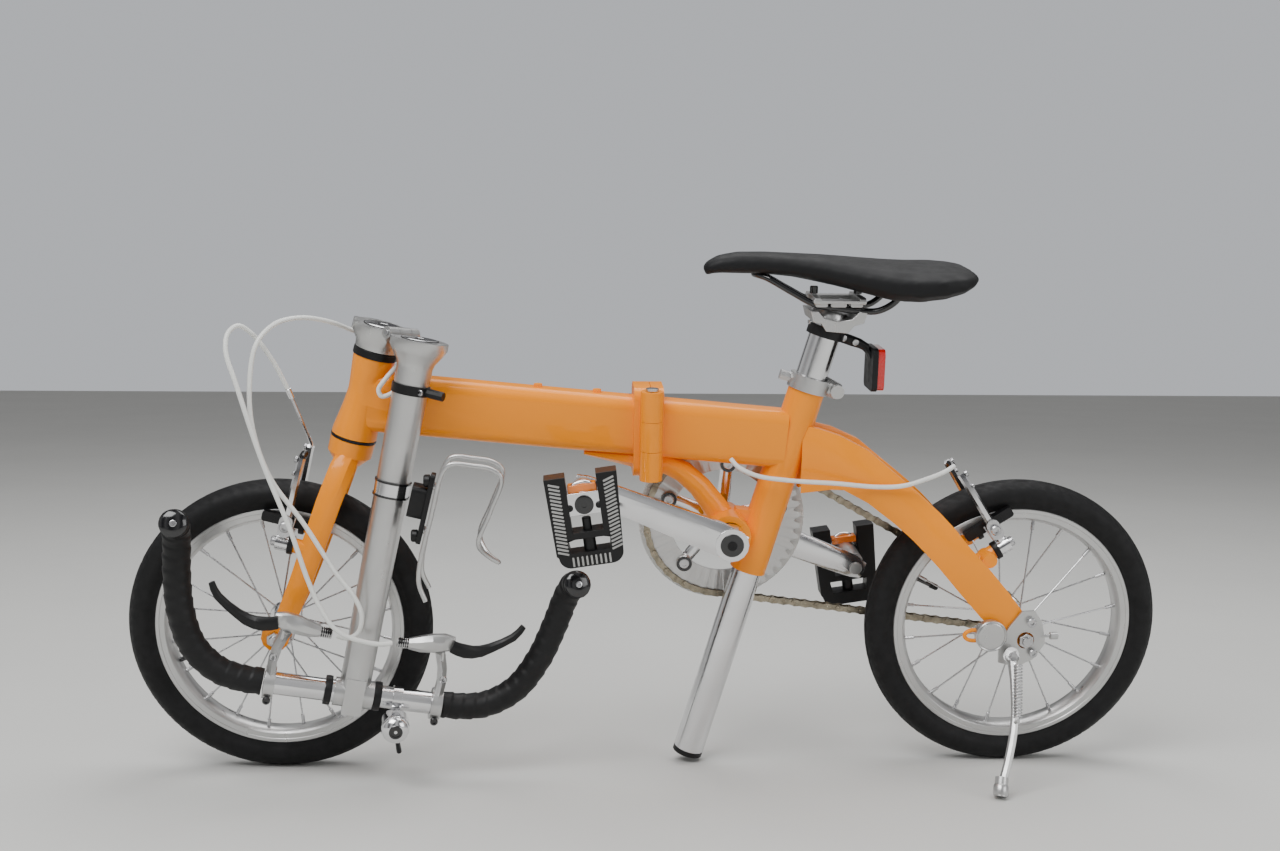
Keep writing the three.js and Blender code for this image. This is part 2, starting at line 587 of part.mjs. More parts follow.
// A wire bottle cage on a bracket behind the post; it is placed in the bicycle's frame while the post is folded.
const cageSide = (side) => [
  [-641, 22, 223], [-648, 19, 245], [-633, 17, 318], [-623, 16, 356], [-615, 16, 366], [-594, 16, 365],
  [-573, 16, 361], [-563, 16, 352], [-574, 16, 318], [-587, 16, 283],
].map(([x, half, z]) => [x, -76 + side * half, z]);
const cageToe = [[-578, -80, 266], [-567, -76, 258], [-578, -72, 266]];
const cagePath = [...cageSide(-1), ...cageToe, ...cageSide(1).reverse()];
const postToBicycle = steeringPlace.clone().multiply(foldPlace);
const intoPost = (geometry) => geometryOf(geometry).clone().applyMatrix4(postToBicycle.clone().invert());
const cageBracket = [
  swept([[-647, -76, 279, 8, 4], [-630, -76, 351, 8, 4]], { sides: 8, steps: 2 }),
  swept([[-652, -74, 300, 7, 9], [-645, -76, 302, 7, 9]], { sides: 8, steps: 1 }),
  swept([[-644, -74, 338, 7, 9], [-635, -76, 340, 7, 9]], { sides: 8, steps: 1 }),
  swept([[-634, -94, 318, 3.5, 3.5], [-637, -76, 320, 3.5, 3.5], [-634, -58, 318, 3.5, 3.5]], { sides: 6, steps: 4, across: X }),
];
part('bottle_cage', intoPost(join(pipe(cagePath, 2.5, 5, 30), ...cageBracket)), SATIN, post);

// ---------------------------------------------------------------- rear half of the frame
const crankY = (y) => [CRANK_AXIS[0], y, CRANK_AXIS[2]];
const SHELL_HALF_WIDTH = 27;
const SHELL_BORE = 17;
const rearTube = mainTube(HINGE_X + 6, -262);
const seatTube = rod(alongSeat(0), alongSeat(-SEAT_TUBE_LENGTH), SEAT_TUBE_RADIUS, 16);
const downStrut = swept([
  [-404, 0, 346, 13, 10], [-384, 0, 343, 12, 12], [-362, 0, 329, 12, 12], [-340, 0, 304, 12, 13], [-326, 0, 282, 13, 15],
], { sides: 10, steps: 5 });
const shell = rod(crankY(-34), crankY(SHELL_HALF_WIDTH), 24, 16);
const web = slab(new THREE.Shape([
  new THREE.Vector2(-324, 254), new THREE.Vector2(-300, 236), new THREE.Vector2(-283, 262),
  new THREE.Vector2(-276, 292), new THREE.Vector2(-312, 296),
]), 16).rotateX(Math.PI / 2).translate(0, 8, 0);
const rearFrame = cut(
  join(rearTube, hingeHalf(HINGE_X + CLEARANCE, -394.6, 1), seatTube, downStrut, shell, web),
  rod(alongSeat(20), alongSeat(-SEAT_TUBE_LENGTH - 20), SEAT_POST_RADIUS + CLEARANCE + 0.1, 16),
  rod(crankY(-60), crankY(60), SHELL_BORE, 16),
);
part('rear_frame', rearFrame, PAINT);

// The arched stays leave the seat tube, pass the tyre and flatten into the dropouts.
function stay(side) {
  const blade = swept([
    [-243, side * 12, 353, 7, 40], [-222, side * 18, 353, 8, 36], [-196, side * 26, 349, 9, 28],
    [-162, side * 33, 328, 9, 23], [-122, side * 38, 296, 9, 22], [-100, side * 46, 275, 7.5, 22],
    [-84, side * 54, 257, 5.4, 21], [-50, side * 54.5, 219, 5.5, 22], [-22, side * 53.7, 187, 4.2, 21],
    [-4, side * 53.6, 167, 4.2, 16],
  ], { sides: 8, steps: 12, squareness: 1.2 });
  const bridge = brakes.rear.foot.clone().addScaledVector(brakes.rear.out, -22);
  const boss = join(
    brakeBoss(brakes.rear, side, 32),
    rod([bridge.x, side * 30, bridge.z], [bridge.x, side * 54, bridge.z], 8, 12),
  );
  const plate = dropout(REAR_AXLE, side, REAR_DROPOUT_Y, 9, 17);
  const clearances = [
    rod(alongSeat(10), alongSeat(-230), SEAT_TUBE_RADIUS + CLEARANCE, 16),
    axleHole(REAR_AXLE),
    block([-300, Math.min(-side * 80, side * 0.4), 250], [-150, Math.max(-side * 80, side * 0.4), 420]),
  ];
  return cut(join(blade, boss, plate), ...clearances);
}
for (const [name, side] of Object.entries(SIDES)) part(`${name}_stay`, stay(side), PAINT);

// Clamp collar on the seat tube, split behind by its bolt lug.
const collarAt = (distance, rear, y = 0) => alongSeat(distance).add(V(rear * Math.cos(rad(SEAT_ANGLE)), y, -rear * Math.sin(rad(SEAT_ANGLE))));
const clampLug = swept([
  [...collarAt(11, 16).toArray(), 9, 10], [...collarAt(8, 33).toArray(), 9, 9],
], { sides: 8, steps: 1, squareness: 1.6 });
const clampBolt = rod(collarAt(9, 30, -14), collarAt(9, 30, 14), 7.5, 12);
const clampFront = rod(collarAt(9, -33), collarAt(9, -18), 5.5, 8);
part('seat_clamp', cut(
  join(aimed(ring(10, 22.5, CLEARANCE, 16), SEAT_TUBE_TOP, seatAxis), clampLug, clampBolt, clampFront),
  rod(alongSeat(-5), alongSeat(40), SEAT_POST_RADIUS + CLEARANCE + 0.1, 16),
), SATIN);

// ---------------------------------------------------------------- seatpost and saddle
const postTube = cut(
  rod(alongSeat(-SEAT_POST_DROP + 6), alongSeat(SEAT_POST_RISE), SEAT_POST_RADIUS, 16),
  rod(alongSeat(-SEAT_POST_DROP), alongSeat(SEAT_POST_RISE - 12), SEAT_POST_RADIUS - 2, 16),
);
part('seatpost', postTube, POLISHED);
part('seatpost_foot', aimed(turned([
  [0, -SEAT_POST_DROP], [SEAT_POST_RADIUS, -SEAT_POST_DROP], [SEAT_POST_RADIUS, -SEAT_POST_DROP + 5.7],
  [SEAT_POST_RADIUS - 2.3, -SEAT_POST_DROP + 5.7], [SEAT_POST_RADIUS - 2.3, -SEAT_POST_DROP + 22],
  [0, -SEAT_POST_DROP + 22],
], 16), SEAT_TUBE_TOP, seatAxis), BLACK_PLASTIC);

const RAIL_RADIUS = 3.5;
const RAIL_Y = 22;
const railSide = (side) => [
  [-149, 34, 535], [-158, 30, 524], [-172, 25, 516], [-190, RAIL_Y, 515.5], [-214, RAIL_Y, 518], [-238, RAIL_Y, 522],
  [-262, 18, 534], [-288, 12, 548],
].map(([x, half, z]) => [x, side * half, z]);
const railPath = [...railSide(-1), [-300, 0, 551], ...railSide(1).reverse()];
part('saddle_rails', pipe(railPath, RAIL_RADIUS, 6, 32), BLACK_PLASTIC);

const headTop = alongSeat(SEAT_POST_RISE + CLEARANCE);
const cradle = join(
  rod(headTop, alongSeat(SEAT_POST_RISE + 14), 19, 16),
  block([-240, -11, 503], [-186, 11, 517]),
  block([-234, -31, 506], [-192, 31, 528]),
  rod([-236, 0, 506], [-232, 0, 533], 4, 6),
  rod([-188, 0, 506], [-184, 0, 532], 4, 6),
);
part('saddle_clamp', cut(
  cradle,
  pipe(railPath, RAIL_RADIUS + 0.6, 6, 32),
  rod(alongSeat(50), alongSeat(SEAT_POST_RISE + CLEARANCE), SEAT_POST_RADIUS + 3, 16),
), SATIN);

const saddleShell = swept([
  [-353, 0, 557, 8, 4], [-344, 0, 562, 15, 7], [-316, 0, 565, 18, 9.5], [-270, 0, 564, 23, 9.5],
  [-226, 0, 560, 34, 12], [-190, 0, 555, 50, 14.5], [-150, 0, 550, 64, 17.5], [-112, 0, 551.5, 68, 15.5],
  [-82, 0, 555, 61, 10.5], [-72, 0, 558, 45, 5],
], { sides: 12, steps: 14, squareness: 1.25 });
const saddleHollow = swept([
  [-272, 0, 538, 14, 9], [-226, 0, 537, 25, 13], [-190, 0, 531, 40, 15], [-150, 0, 525, 54, 20],
  [-112, 0, 526, 58, 20], [-90, 0, 530, 50, 17],
], { sides: 12, steps: 8, squareness: 1.25 });
part('saddle', cut(saddleShell, saddleHollow), COVER);

const bandLow = 61;
const bandHigh = 72;
const reflectorArm = swept([
  [-210, 0, 486, 6, 6], [-192, 0, 480, 6, 6], [-178, 0, 474, 6, 5], [-172.5, 0, 462, 12, 2.6], [-171.5, 0, 436, 16, 2.4],
], { sides: 8, steps: 8 });
part('reflector_bracket', cut(
  join(aimed(ring(10, 20.5, bandLow, bandHigh), SEAT_TUBE_TOP, seatAxis), reflectorArm),
  rod(alongSeat(50), alongSeat(90), SEAT_POST_RADIUS + CLEARANCE + 0.1, 16),
), BLACK_PLASTIC);
part('rear_reflector', aimed(slab(roundedOutline(42, 45, 6), 8.5), [-168.4, 0, 451.5], X, Z.clone().negate()), RED_LENS);

// ---------------------------------------------------------------- cranks, chainring and chain
const crankTip = (side) => {
  const angle = rad(CRANK_RISE);
  return V(CRANK_AXIS[0] + side * CRANK_LENGTH * Math.cos(angle), 0, CRANK_AXIS[2] - side * CRANK_LENGTH * Math.sin(angle));
};
part('crank_spindle', join(
  rod(crankY(-52), crankY(48), 8.5, 12),
  rod(crankY(-36), crankY(SHELL_HALF_WIDTH + 1), SHELL_BORE - 0.8, 16),
), STEEL);

const PEDAL_HOLE = 7.5;
function crankArm(side) {
  const eye = crankTip(side);
  const at = (t, y, thick, tall) => {
    const middle = vec(CRANK_AXIS).lerp(eye, t);
    return [middle.x, side * y, middle.z, thick, tall];
  };
  const arm = swept([
    at(-0.08, 56, 7, 15), at(0.06, 56, 7.5, 19), at(0.2, 56, 7.5, 18.5), at(0.45, 57, 7, 16.5), at(0.8, 59, 6.5, 14.5),
    at(0.97, 60, 6.3, 14), at(1.06, 60, 6, 10),
  ], { sides: 8, steps: 8, squareness: 1.3 });
  const boss = rod(crankY(side * 42), crankY(side * 63.5), 18, 16);
  const pedalHole = rod([eye.x, side * 45, eye.z], [eye.x, side * 75, eye.z], PEDAL_HOLE, 12);
  const spindleSeat = rod(crankY(side * 30), crankY(side * (side < 0 ? 52.5 : 48.5)), 8.5 + 0.5, 12);
  return { solid: join(arm, boss), tools: [pedalHole, spindleSeat] };
}

const left = crankArm(SIDES.left);
part('left_crank', cut(left.solid, ...left.tools), POLISHED);

const SPIDER_ARMS = 5;
const SPIDER_START = 14;
const spiderPoint = (i, radius, y) => {
  const angle = rad(SPIDER_START + (360 / SPIDER_ARMS) * i);
  return [CRANK_AXIS[0] + radius * Math.cos(angle), y, CRANK_AXIS[2] + radius * Math.sin(angle)];
};
const right = crankArm(SIDES.right);
const spiderArms = Array.from({ length: SPIDER_ARMS }, (_, i) => swept([
  [...spiderPoint(i, 8, 46), 4, 9], [...spiderPoint(i, 40, 42.5), 3, 7], [...spiderPoint(i, SPIDER_RADIUS + 7, 39.8), 2, 6.5],
], { sides: 6, steps: 2 }));
const ringBolts = (low, high, radius) =>
  Array.from({ length: SPIDER_ARMS }, (_, i) => rod(spiderPoint(i, SPIDER_RADIUS, low), spiderPoint(i, SPIDER_RADIUS, high), radius, 6));
part('right_crank', cut(join(right.solid, ...spiderArms), ...right.tools, ...ringBolts(30, 50, 4.4)), POLISHED);

const flat = (inner, outer, low, high, segments) => aimed(ring(inner, outer, low, high, segments), CRANK_AXIS, Y, Z);
part('chainring', join(flat(58, CHAINRING_RADIUS - CHAIN_HALF_HEIGHT - 0.7, CHAIN_LINE - 1, CHAIN_LINE + 1.4, 36), ...ringBolts(CHAIN_LINE - 4, 45, 4)), SATIN);
part('chain_guard', flat(70, GUARD_RADIUS, 42.2, 44.2, 40), GUARD);

// Open chain run round two circles: the two straight runs touch both circles from outside.
function beltOutline(radius1, radius2) {
  const from = new THREE.Vector2(CRANK_AXIS[0], CRANK_AXIS[2]);
  const to = new THREE.Vector2(REAR_AXLE[0], REAR_AXLE[2]);
  const span = to.clone().sub(from);
  const heading = span.angle();
  const open = Math.acos((radius1 - radius2) / span.length());
  const shape = new THREE.Shape();
  shape.absarc(from.x, from.y, radius1, heading + open, heading - open + 2 * Math.PI, false);
  shape.absarc(to.x, to.y, radius2, heading - open, heading + open, false);
  return shape;
}
const chainOutline = beltOutline(CHAINRING_RADIUS + CHAIN_HALF_HEIGHT, COG_RADIUS + CHAIN_HALF_HEIGHT);
chainOutline.holes.push(beltOutline(CHAINRING_RADIUS - CHAIN_HALF_HEIGHT, COG_RADIUS - CHAIN_HALF_HEIGHT));
part('chain', slab(chainOutline, 6, 14).rotateX(Math.PI / 2).translate(0, CHAIN_LINE + 3, 0), CHAIN_METAL);
part('rear_cog', aimed(ring(8.6, COG_RADIUS - 4.5, CHAIN_LINE - 4, CHAIN_LINE + 2.5, 16), REAR_AXLE, Y, Z), CHAIN_METAL);

// ---------------------------------------------------------------- folding pedals
// Drawn with the axle at 0, 0, 0 and x to the rear; `side` is the way out from the crank.
const PEDAL_HINGE = { out: 112, rise: -11 };
const PEDAL_TOP = 42;

function pedalBlock(side) {
  return join(
    rod([0, side * 52, 0], [0, side * 80, 0], PEDAL_HOLE - CLEARANCE, 12),
    rod([0, side * 72, 0], [0, side * 127, 0], 13, 16),
  );
}

function pedalPlatform(side) {
  const [halfWidth, top, bottom] = [PEDAL_WIDTH / 2, PEDAL_TOP, PEDAL_TOP - PEDAL_LENGTH];
  const shape = new THREE.Shape();
  shape.moveTo(-halfWidth, top);
  shape.lineTo(-halfWidth + 2, bottom + 14);
  shape.absarc(-halfWidth + 16, bottom + 12, 12, Math.PI, 1.5 * Math.PI);
  shape.absarc(halfWidth - 16, bottom + 12, 12, 1.5 * Math.PI, 2 * Math.PI);
  shape.lineTo(halfWidth, top);
  shape.lineTo(15.5, top);
  shape.lineTo(15.5, -16);
  shape.lineTo(-15.5, -16);
  shape.lineTo(-15.5, top);
  shape.closePath();
  const windowShape = new THREE.Path([
    new THREE.Vector2(-22, -23), new THREE.Vector2(22, -23), new THREE.Vector2(20, -37), new THREE.Vector2(-20, -37),
  ]);
  shape.holes.push(windowShape);
  const plate = slab(shape, PEDAL_THICKNESS, 4).rotateX(Math.PI / 2);
  const outerFace = PEDAL_HINGE.out + PEDAL_THICKNESS;
  return plate.translate(0, side > 0 ? outerFace : -PEDAL_HINGE.out, PEDAL_HINGE.rise);
}

for (const [name, side] of Object.entries(SIDES)) {
  const pedal = new THREE.Group();
  pedal.position.copy(crankTip(side));
  pedal.rotation.y = rad(-PEDAL_TILT);
  bicycle.add(pedal);
  part(`${name}_pedal_block`, pedalBlock(side), SATIN, pedal);
  part(`${name}_pedal_platform`, pedalPlatform(side), BLACK_PLASTIC, pedal);
}

// ---------------------------------------------------------------- rim brakes
function brakeArm({ foot, up, out, padRise }, side) {
  const at = (y, rise, forward) => foot.clone().addScaledVector(Y, side * y).addScaledVector(up, rise).addScaledVector(out, forward);
  const pivot = cut(
    rod(at(BOSS_Y, 0, -5.6), at(BOSS_Y, 0, 7), 8.5, 12),
    rod(at(BOSS_Y, 0, -20), at(BOSS_Y, 0, 16), 4, 8),
  );
  const station = (y, rise, wide, tall) => [...at(y, rise, 0.7).toArray(), wide, tall];
  const upper = swept([
    station(BOSS_Y, 6, 5, 5), station(BOSS_Y + 1, 40, 5, 4.5), station(BOSS_Y - 3, 74, 4, 4), station(BOSS_Y - 8, 92, 4.5, 4.5),
  ], { sides: 6, steps: 4 });
  const holder = rod(at(BOSS_Y + 5, padRise, 0.7), at(19, padRise, 0.7), 4, 6);
  const along = up.clone().cross(Y).multiplyScalar(side).normalize();
  const padMiddle = at(19.3, padRise, 0);
  const pad = swept([-27, -9, 9, 27].map((reach) => [
    ...padMiddle.clone().addScaledVector(along, reach).toArray(), 4, 5,
  ]), { sides: 6, steps: 2, squareness: 1.6 });
  return join(pivot, upper, holder, pad);
}
for (const [end, brake] of Object.entries(brakes)) {
  for (const [name, side] of Object.entries(SIDES)) part(`${end}_${name}_brake_arm`, brakeArm(brake, side), POLISHED);
}

// ---------------------------------------------------------------- cables
// The front cable leaves the drive-side lever and the rear cable the other lever. The rear cable enters the
// frame beside the head tube and comes out above the crank.
part('front_brake_cable', pipe([
  [-678, -84, 173], [-690, -90, 174], [-720, -96, 184], [-735, -97, 195], [-748, -96, 216], [-760, -94, 245],
  [-776, -93, 298], [-802, -89, 368], [-826, -79, 443], [-838, -67, 477], [-837, -57, 493], [-829, -47, 499],
  [-818, -38, 490], [-800, -30, 462], [-784, -22, 424], [-775, -12, 394], [-771, 6, 372],
], 2.5, 6, 32), HOUSING);
part('rear_brake_cable_front', pipe([
  [-734, -84, 181], [-723, -85, 179], [-712, -85, 185], [-708, -85, 205], [-716, -84, 225], [-732, -83, 247],
  [-765, -81, 302], [-797, -77, 348], [-814, -70, 398], [-817, -61, 443], [-811, -49, 481], [-795, -34, 499],
  [-773, -16, 503], [-747, 12, 495], [-727, 34, 483], [-700, 40, 472], [-680, 30, 464], [-670, 10, 458],
  [-674, -12, 453], [-685, -25, 441], [-692, -29, 430], [-689, -29.5, 423.5], [-681, -27, 425], [-673.5, -23.2, 430],
], 2.5, 6, 44), HOUSING);
part('rear_brake_cable', pipe([
  [-322, -24.5, 356], [-315, -30, 349], [-295, -34, 340], [-262, -38, 336], [-238, -41, 335], [-212, -43, 334],
  [-166, -46.5, 331], [-140, -49, 333], [-118, -50, 340], [-97, -46, 347], [-84, -38, 352],
], 2.5, 6, 16), HOUSING);

// ---------------------------------------------------------------- kickstand and wheel magnet
const KICK_PIVOT = [-17, -70, 150.3];
const KICK_FOOT = [-45, -151, 25.6];
const KICK_AXIS = vec([-0.235, -0.778, 0.583]).normalize();
const kickAlong = (distance) => vec(KICK_PIVOT).addScaledVector(KICK_AXIS, distance);
const kickDirection = vec(KICK_FOOT).sub(vec(KICK_PIVOT)).normalize();
const kickAt = (distance, aside = 0) => vec(KICK_PIVOT).addScaledVector(kickDirection, distance).addScaledVector(X, aside);
const kickLength = vec(KICK_FOOT).distanceTo(vec(KICK_PIVOT));
const springSide = kickDirection.clone().cross(X).normalize();

// Silver plate on the near dropout, held by two bolts: it carries the kickstand and the wheel magnet.
const plateShape = new THREE.Shape([
  new THREE.Vector2(-6, 196), new THREE.Vector2(8, 197), new THREE.Vector2(17, 184), new THREE.Vector2(22, 160),
  new THREE.Vector2(10, 142), new THREE.Vector2(-8, 133), new THREE.Vector2(-28, 138), new THREE.Vector2(-29, 160),
  new THREE.Vector2(-18, 180),
]);
const NUT_ROOM = 9.5;
const MAGNET = [-39.7, 170.4];
part('kickstand_bracket', cut(
  join(
    slab(plateShape, 3).rotateX(Math.PI / 2).translate(0, -58.4, 0),
    rod(kickAlong(-9), kickAlong(-5), 8.5, 16),
    rod([4, -60, 185], [4, -64, 185], 5, 12),
    rod([8, -61, 150], [8, -64, 150], 4.5, 12),
    rod([17, -60, 168], [36, -60, 168.3], 2, 8),
    rod([27, -60, 168.1], [35, -60, 168.3], 4, 10),
    rod([MAGNET[0], -60, MAGNET[1]], [MAGNET[0], -67, MAGNET[1]], 17, 20),
    block([-32, -61.4, 160], [-22, -58.4, 175]),
  ),
  rod([0, -80, WHEEL_RADIUS], [0, -50, WHEEL_RADIUS], NUT_ROOM, 16),
), SATIN);

part('kickstand_leg', join(
  rod(kickAlong(-4.6), kickAlong(4), 7.5, 14),
  pipe([kickAt(-2), kickAt(30, 5), kickAt(72, 9), kickAt(110, 6), kickAt(kickLength - 8)], 4.5, 8, 12),
  rod(kickAt(kickLength - 20), kickAt(kickLength), 7, 12),
  rod(kickAt(74, 9), kickAt(74, 9).addScaledVector(springSide, 13), 2.2, 8),
), SATIN);
part('kickstand_spring', rod(
  kickAt(12, 5).addScaledVector(springSide, 10.5), kickAt(70, 9).addScaledVector(springSide, 10.5), 5, 10,
), STEEL);

// ---------------------------------------------------------------- the whole bicycle, leaning on its stand
const leaning = new THREE.Group();
leaning.rotation.x = rad(LEAN);
leaning.add(bicycle);
leaning.updateMatrixWorld(true);
const footprint = new THREE.Box3().setFromObject(leaning, true);
leaning.position.set(
  -(footprint.min.x + footprint.max.x) / 2,
  -(footprint.min.y + footprint.max.y) / 2,
  -footprint.min.z,
);

const object = new THREE.Group();
object.add(leaning);
export default object;
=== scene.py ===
import json
import math

import bmesh
import bpy
from mathutils import Matrix, Vector


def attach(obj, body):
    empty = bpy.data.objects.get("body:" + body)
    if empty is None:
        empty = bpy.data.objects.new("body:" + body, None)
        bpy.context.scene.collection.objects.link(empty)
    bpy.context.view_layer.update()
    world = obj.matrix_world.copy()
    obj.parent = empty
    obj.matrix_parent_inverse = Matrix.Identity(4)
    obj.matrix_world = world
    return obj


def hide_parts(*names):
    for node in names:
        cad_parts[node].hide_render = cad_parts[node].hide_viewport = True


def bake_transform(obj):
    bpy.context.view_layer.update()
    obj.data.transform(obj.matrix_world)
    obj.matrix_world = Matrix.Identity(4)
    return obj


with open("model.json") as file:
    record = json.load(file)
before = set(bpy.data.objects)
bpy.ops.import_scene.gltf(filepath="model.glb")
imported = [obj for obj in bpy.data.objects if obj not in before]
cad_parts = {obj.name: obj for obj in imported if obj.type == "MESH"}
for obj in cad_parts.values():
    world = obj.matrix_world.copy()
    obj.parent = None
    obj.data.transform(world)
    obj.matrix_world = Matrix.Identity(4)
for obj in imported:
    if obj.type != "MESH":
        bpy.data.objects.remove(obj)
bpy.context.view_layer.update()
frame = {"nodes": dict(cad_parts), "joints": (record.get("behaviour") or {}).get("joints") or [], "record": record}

NODES = frame["nodes"]
BODY_OF = {n: b for b, ns in frame["record"]["behaviour"]["bodies"].items() for n in ns}
JOINT = {j["name"]: j for j in frame["joints"]}

# ------------------------------------------------------------------ frames
MM = 0.001
WHEEL_RADIUS = 163.5
LEAN = math.radians(8.63)
FRONT_AXLE = Vector((-805.6, 0, WHEEL_RADIUS))
REAR_AXLE = Vector((0, 0, WHEEL_RADIUS))
HEAD_TOP = Vector((-699.1, 0, 460))
HEAD_ANGLE = math.radians(15.4)
BASE_TOP = 34.8
HINGE_ANGLE = math.radians(48.7)
HINGE_OFFSET = 28.7
POST_FOLD = math.radians(174.36)
POST_LENGTH = 384
SEAT_ANGLE = math.radians(15.96)
SEAT_TUBE_TOP = Vector((-239.6, 0, 426.3))
CRANK_AXIS = Vector((-322.5, 0, 271.5))
CRANK_LENGTH = 170
CRANK_RISE = math.radians(22)
PEDAL_TILT = math.radians(-8.5)
KICK_PIVOT = Vector((-17, -70, 150.3))
KICK_FOOT = Vector((-45, -151, 25.6))
SIDES = {"left": -1, "right": 1}
X, Y, Z = Vector((1, 0, 0)), Vector((0, 1, 0)), Vector((0, 0, 1))

tilt = Matrix.Rotation(LEAN, 4, "X")
BIKE = (
    Matrix.Translation(Vector(JOINT["rear_wheel_spin"]["pos_m"]) - tilt @ (REAR_AXLE * MM))
    @ tilt @ Matrix.Scale(MM, 4)
)
STEER = BIKE @ Matrix.Translation(HEAD_TOP) @ Matrix.Rotation(HEAD_ANGLE, 4, "Y") @ Matrix.Translation(
    (0, 0, BASE_TOP)
)
hinge_along = Vector((math.cos(HINGE_ANGLE), math.sin(HINGE_ANGLE), 0))
hinge_pin = Vector((math.sin(HINGE_ANGLE), -math.cos(HINGE_ANGLE), 0)) * HINGE_OFFSET
POST = (
    STEER @ Matrix.Translation(hinge_pin) @ Matrix.Rotation(POST_FOLD, 4, hinge_along)
    @ Matrix.Translation(-hinge_pin)
)
SEAT = BIKE @ Matrix.Translation(SEAT_TUBE_TOP) @ Matrix.Rotation(SEAT_ANGLE, 4, "Y")


def crank_eye(side):
    return CRANK_AXIS + Vector((side * math.cos(CRANK_RISE), 0, -side * math.sin(CRANK_RISE))) * CRANK_LENGTH


def pedal_frame(side):
    return BIKE @ Matrix.Translation(crank_eye(side)) @ Matrix.Rotation(PEDAL_TILT, 4, "Y")


# ------------------------------------------------------------------ materials
class Nodes:
    """A material's node tree, with its Principled shader and object coordinates in metres."""

    def __init__(self, name):
        self.material = bpy.data.materials.new(name)
        self.material.use_nodes = True
        self.tree = self.material.node_tree
        self.shader = self.tree.nodes["Principled BSDF"]
        self.coords = self.add("ShaderNodeTexCoord").outputs["Object"]

    def add(self, kind, inputs=(), **settings):
        node = self.tree.nodes.new(kind)
        for key, value in settings.items():
            setattr(node, key, value)
        for key, value in dict(inputs).items():
            if isinstance(value, bpy.types.NodeSocket):
                self.link(value, node.inputs[key])
            else:
                node.inputs[key].default_value = value
        return node

    def link(self, source, target):
        self.tree.links.new(source, target)

    def noise(self, scale, detail=4, stretch=None):
        vector = self.coords
        if stretch:
            vector = self.add("ShaderNodeMapping", {"Vector": vector, "Scale": stretch}).outputs["Vector"]
        return self.add(
            "ShaderNodeTexNoise", {"Vector": vector, "Scale": scale, "Detail": detail}
        ).outputs["Fac"]

    def cells(self, scale):
        return self.add("ShaderNodeTexVoronoi", {"Vector": self.coords, "Scale": scale}).outputs["Distance"]

    def ramp(self, factor, low, high):
        node = self.add(
            "ShaderNodeMapRange",
            {"Value": factor, "From Min": 0.3, "From Max": 0.7, "To Min": low, "To Max": high},
        )
        return node.outputs["Result"]

    def tint(self, factor, dark, light):
        node = self.add("ShaderNodeMix", {"Factor": factor}, data_type="RGBA")
        node.inputs["A"].default_value = (*dark, 1)
        node.inputs["B"].default_value = (*light, 1)
        return node.outputs["Result"]

    def bump(self, height, depth):
        node = self.add("ShaderNodeBump", {"Height": height, "Distance": depth * MM, "Strength": 1.0})
        self.link(node.outputs["Normal"], self.shader.inputs["Normal"])


def surface(name, colour, metallic, roughness, *, spread=0.12, blotch=18, wear=0.06, grain=900, depth=0.01,
            stretch=None, cells=None, **fixed):
    """Colour that drifts by `spread` over blotches, roughness that drifts by `wear`, and a fine bump."""
    n = Nodes(name)
    blotches = n.ramp(n.noise(blotch, 5), 0, 1)
    dark = [c * (1 - spread) for c in colour]
    light = [min(1, c * (1 + spread)) for c in colour]
    n.link(n.tint(blotches, dark, light), n.shader.inputs["Base Color"])
    n.shader.inputs["Metallic"].default_value = metallic
    n.link(
        n.ramp(n.noise(grain / 12, 6, stretch), max(0.02, roughness - wear), roughness + wear),
        n.shader.inputs["Roughness"],
    )
    n.bump(n.cells(cells) if cells else n.noise(grain, 3, stretch), depth)
    for socket, value in fixed.items():
        n.shader.inputs[socket.replace("_", " ")].default_value = value
    return n.material


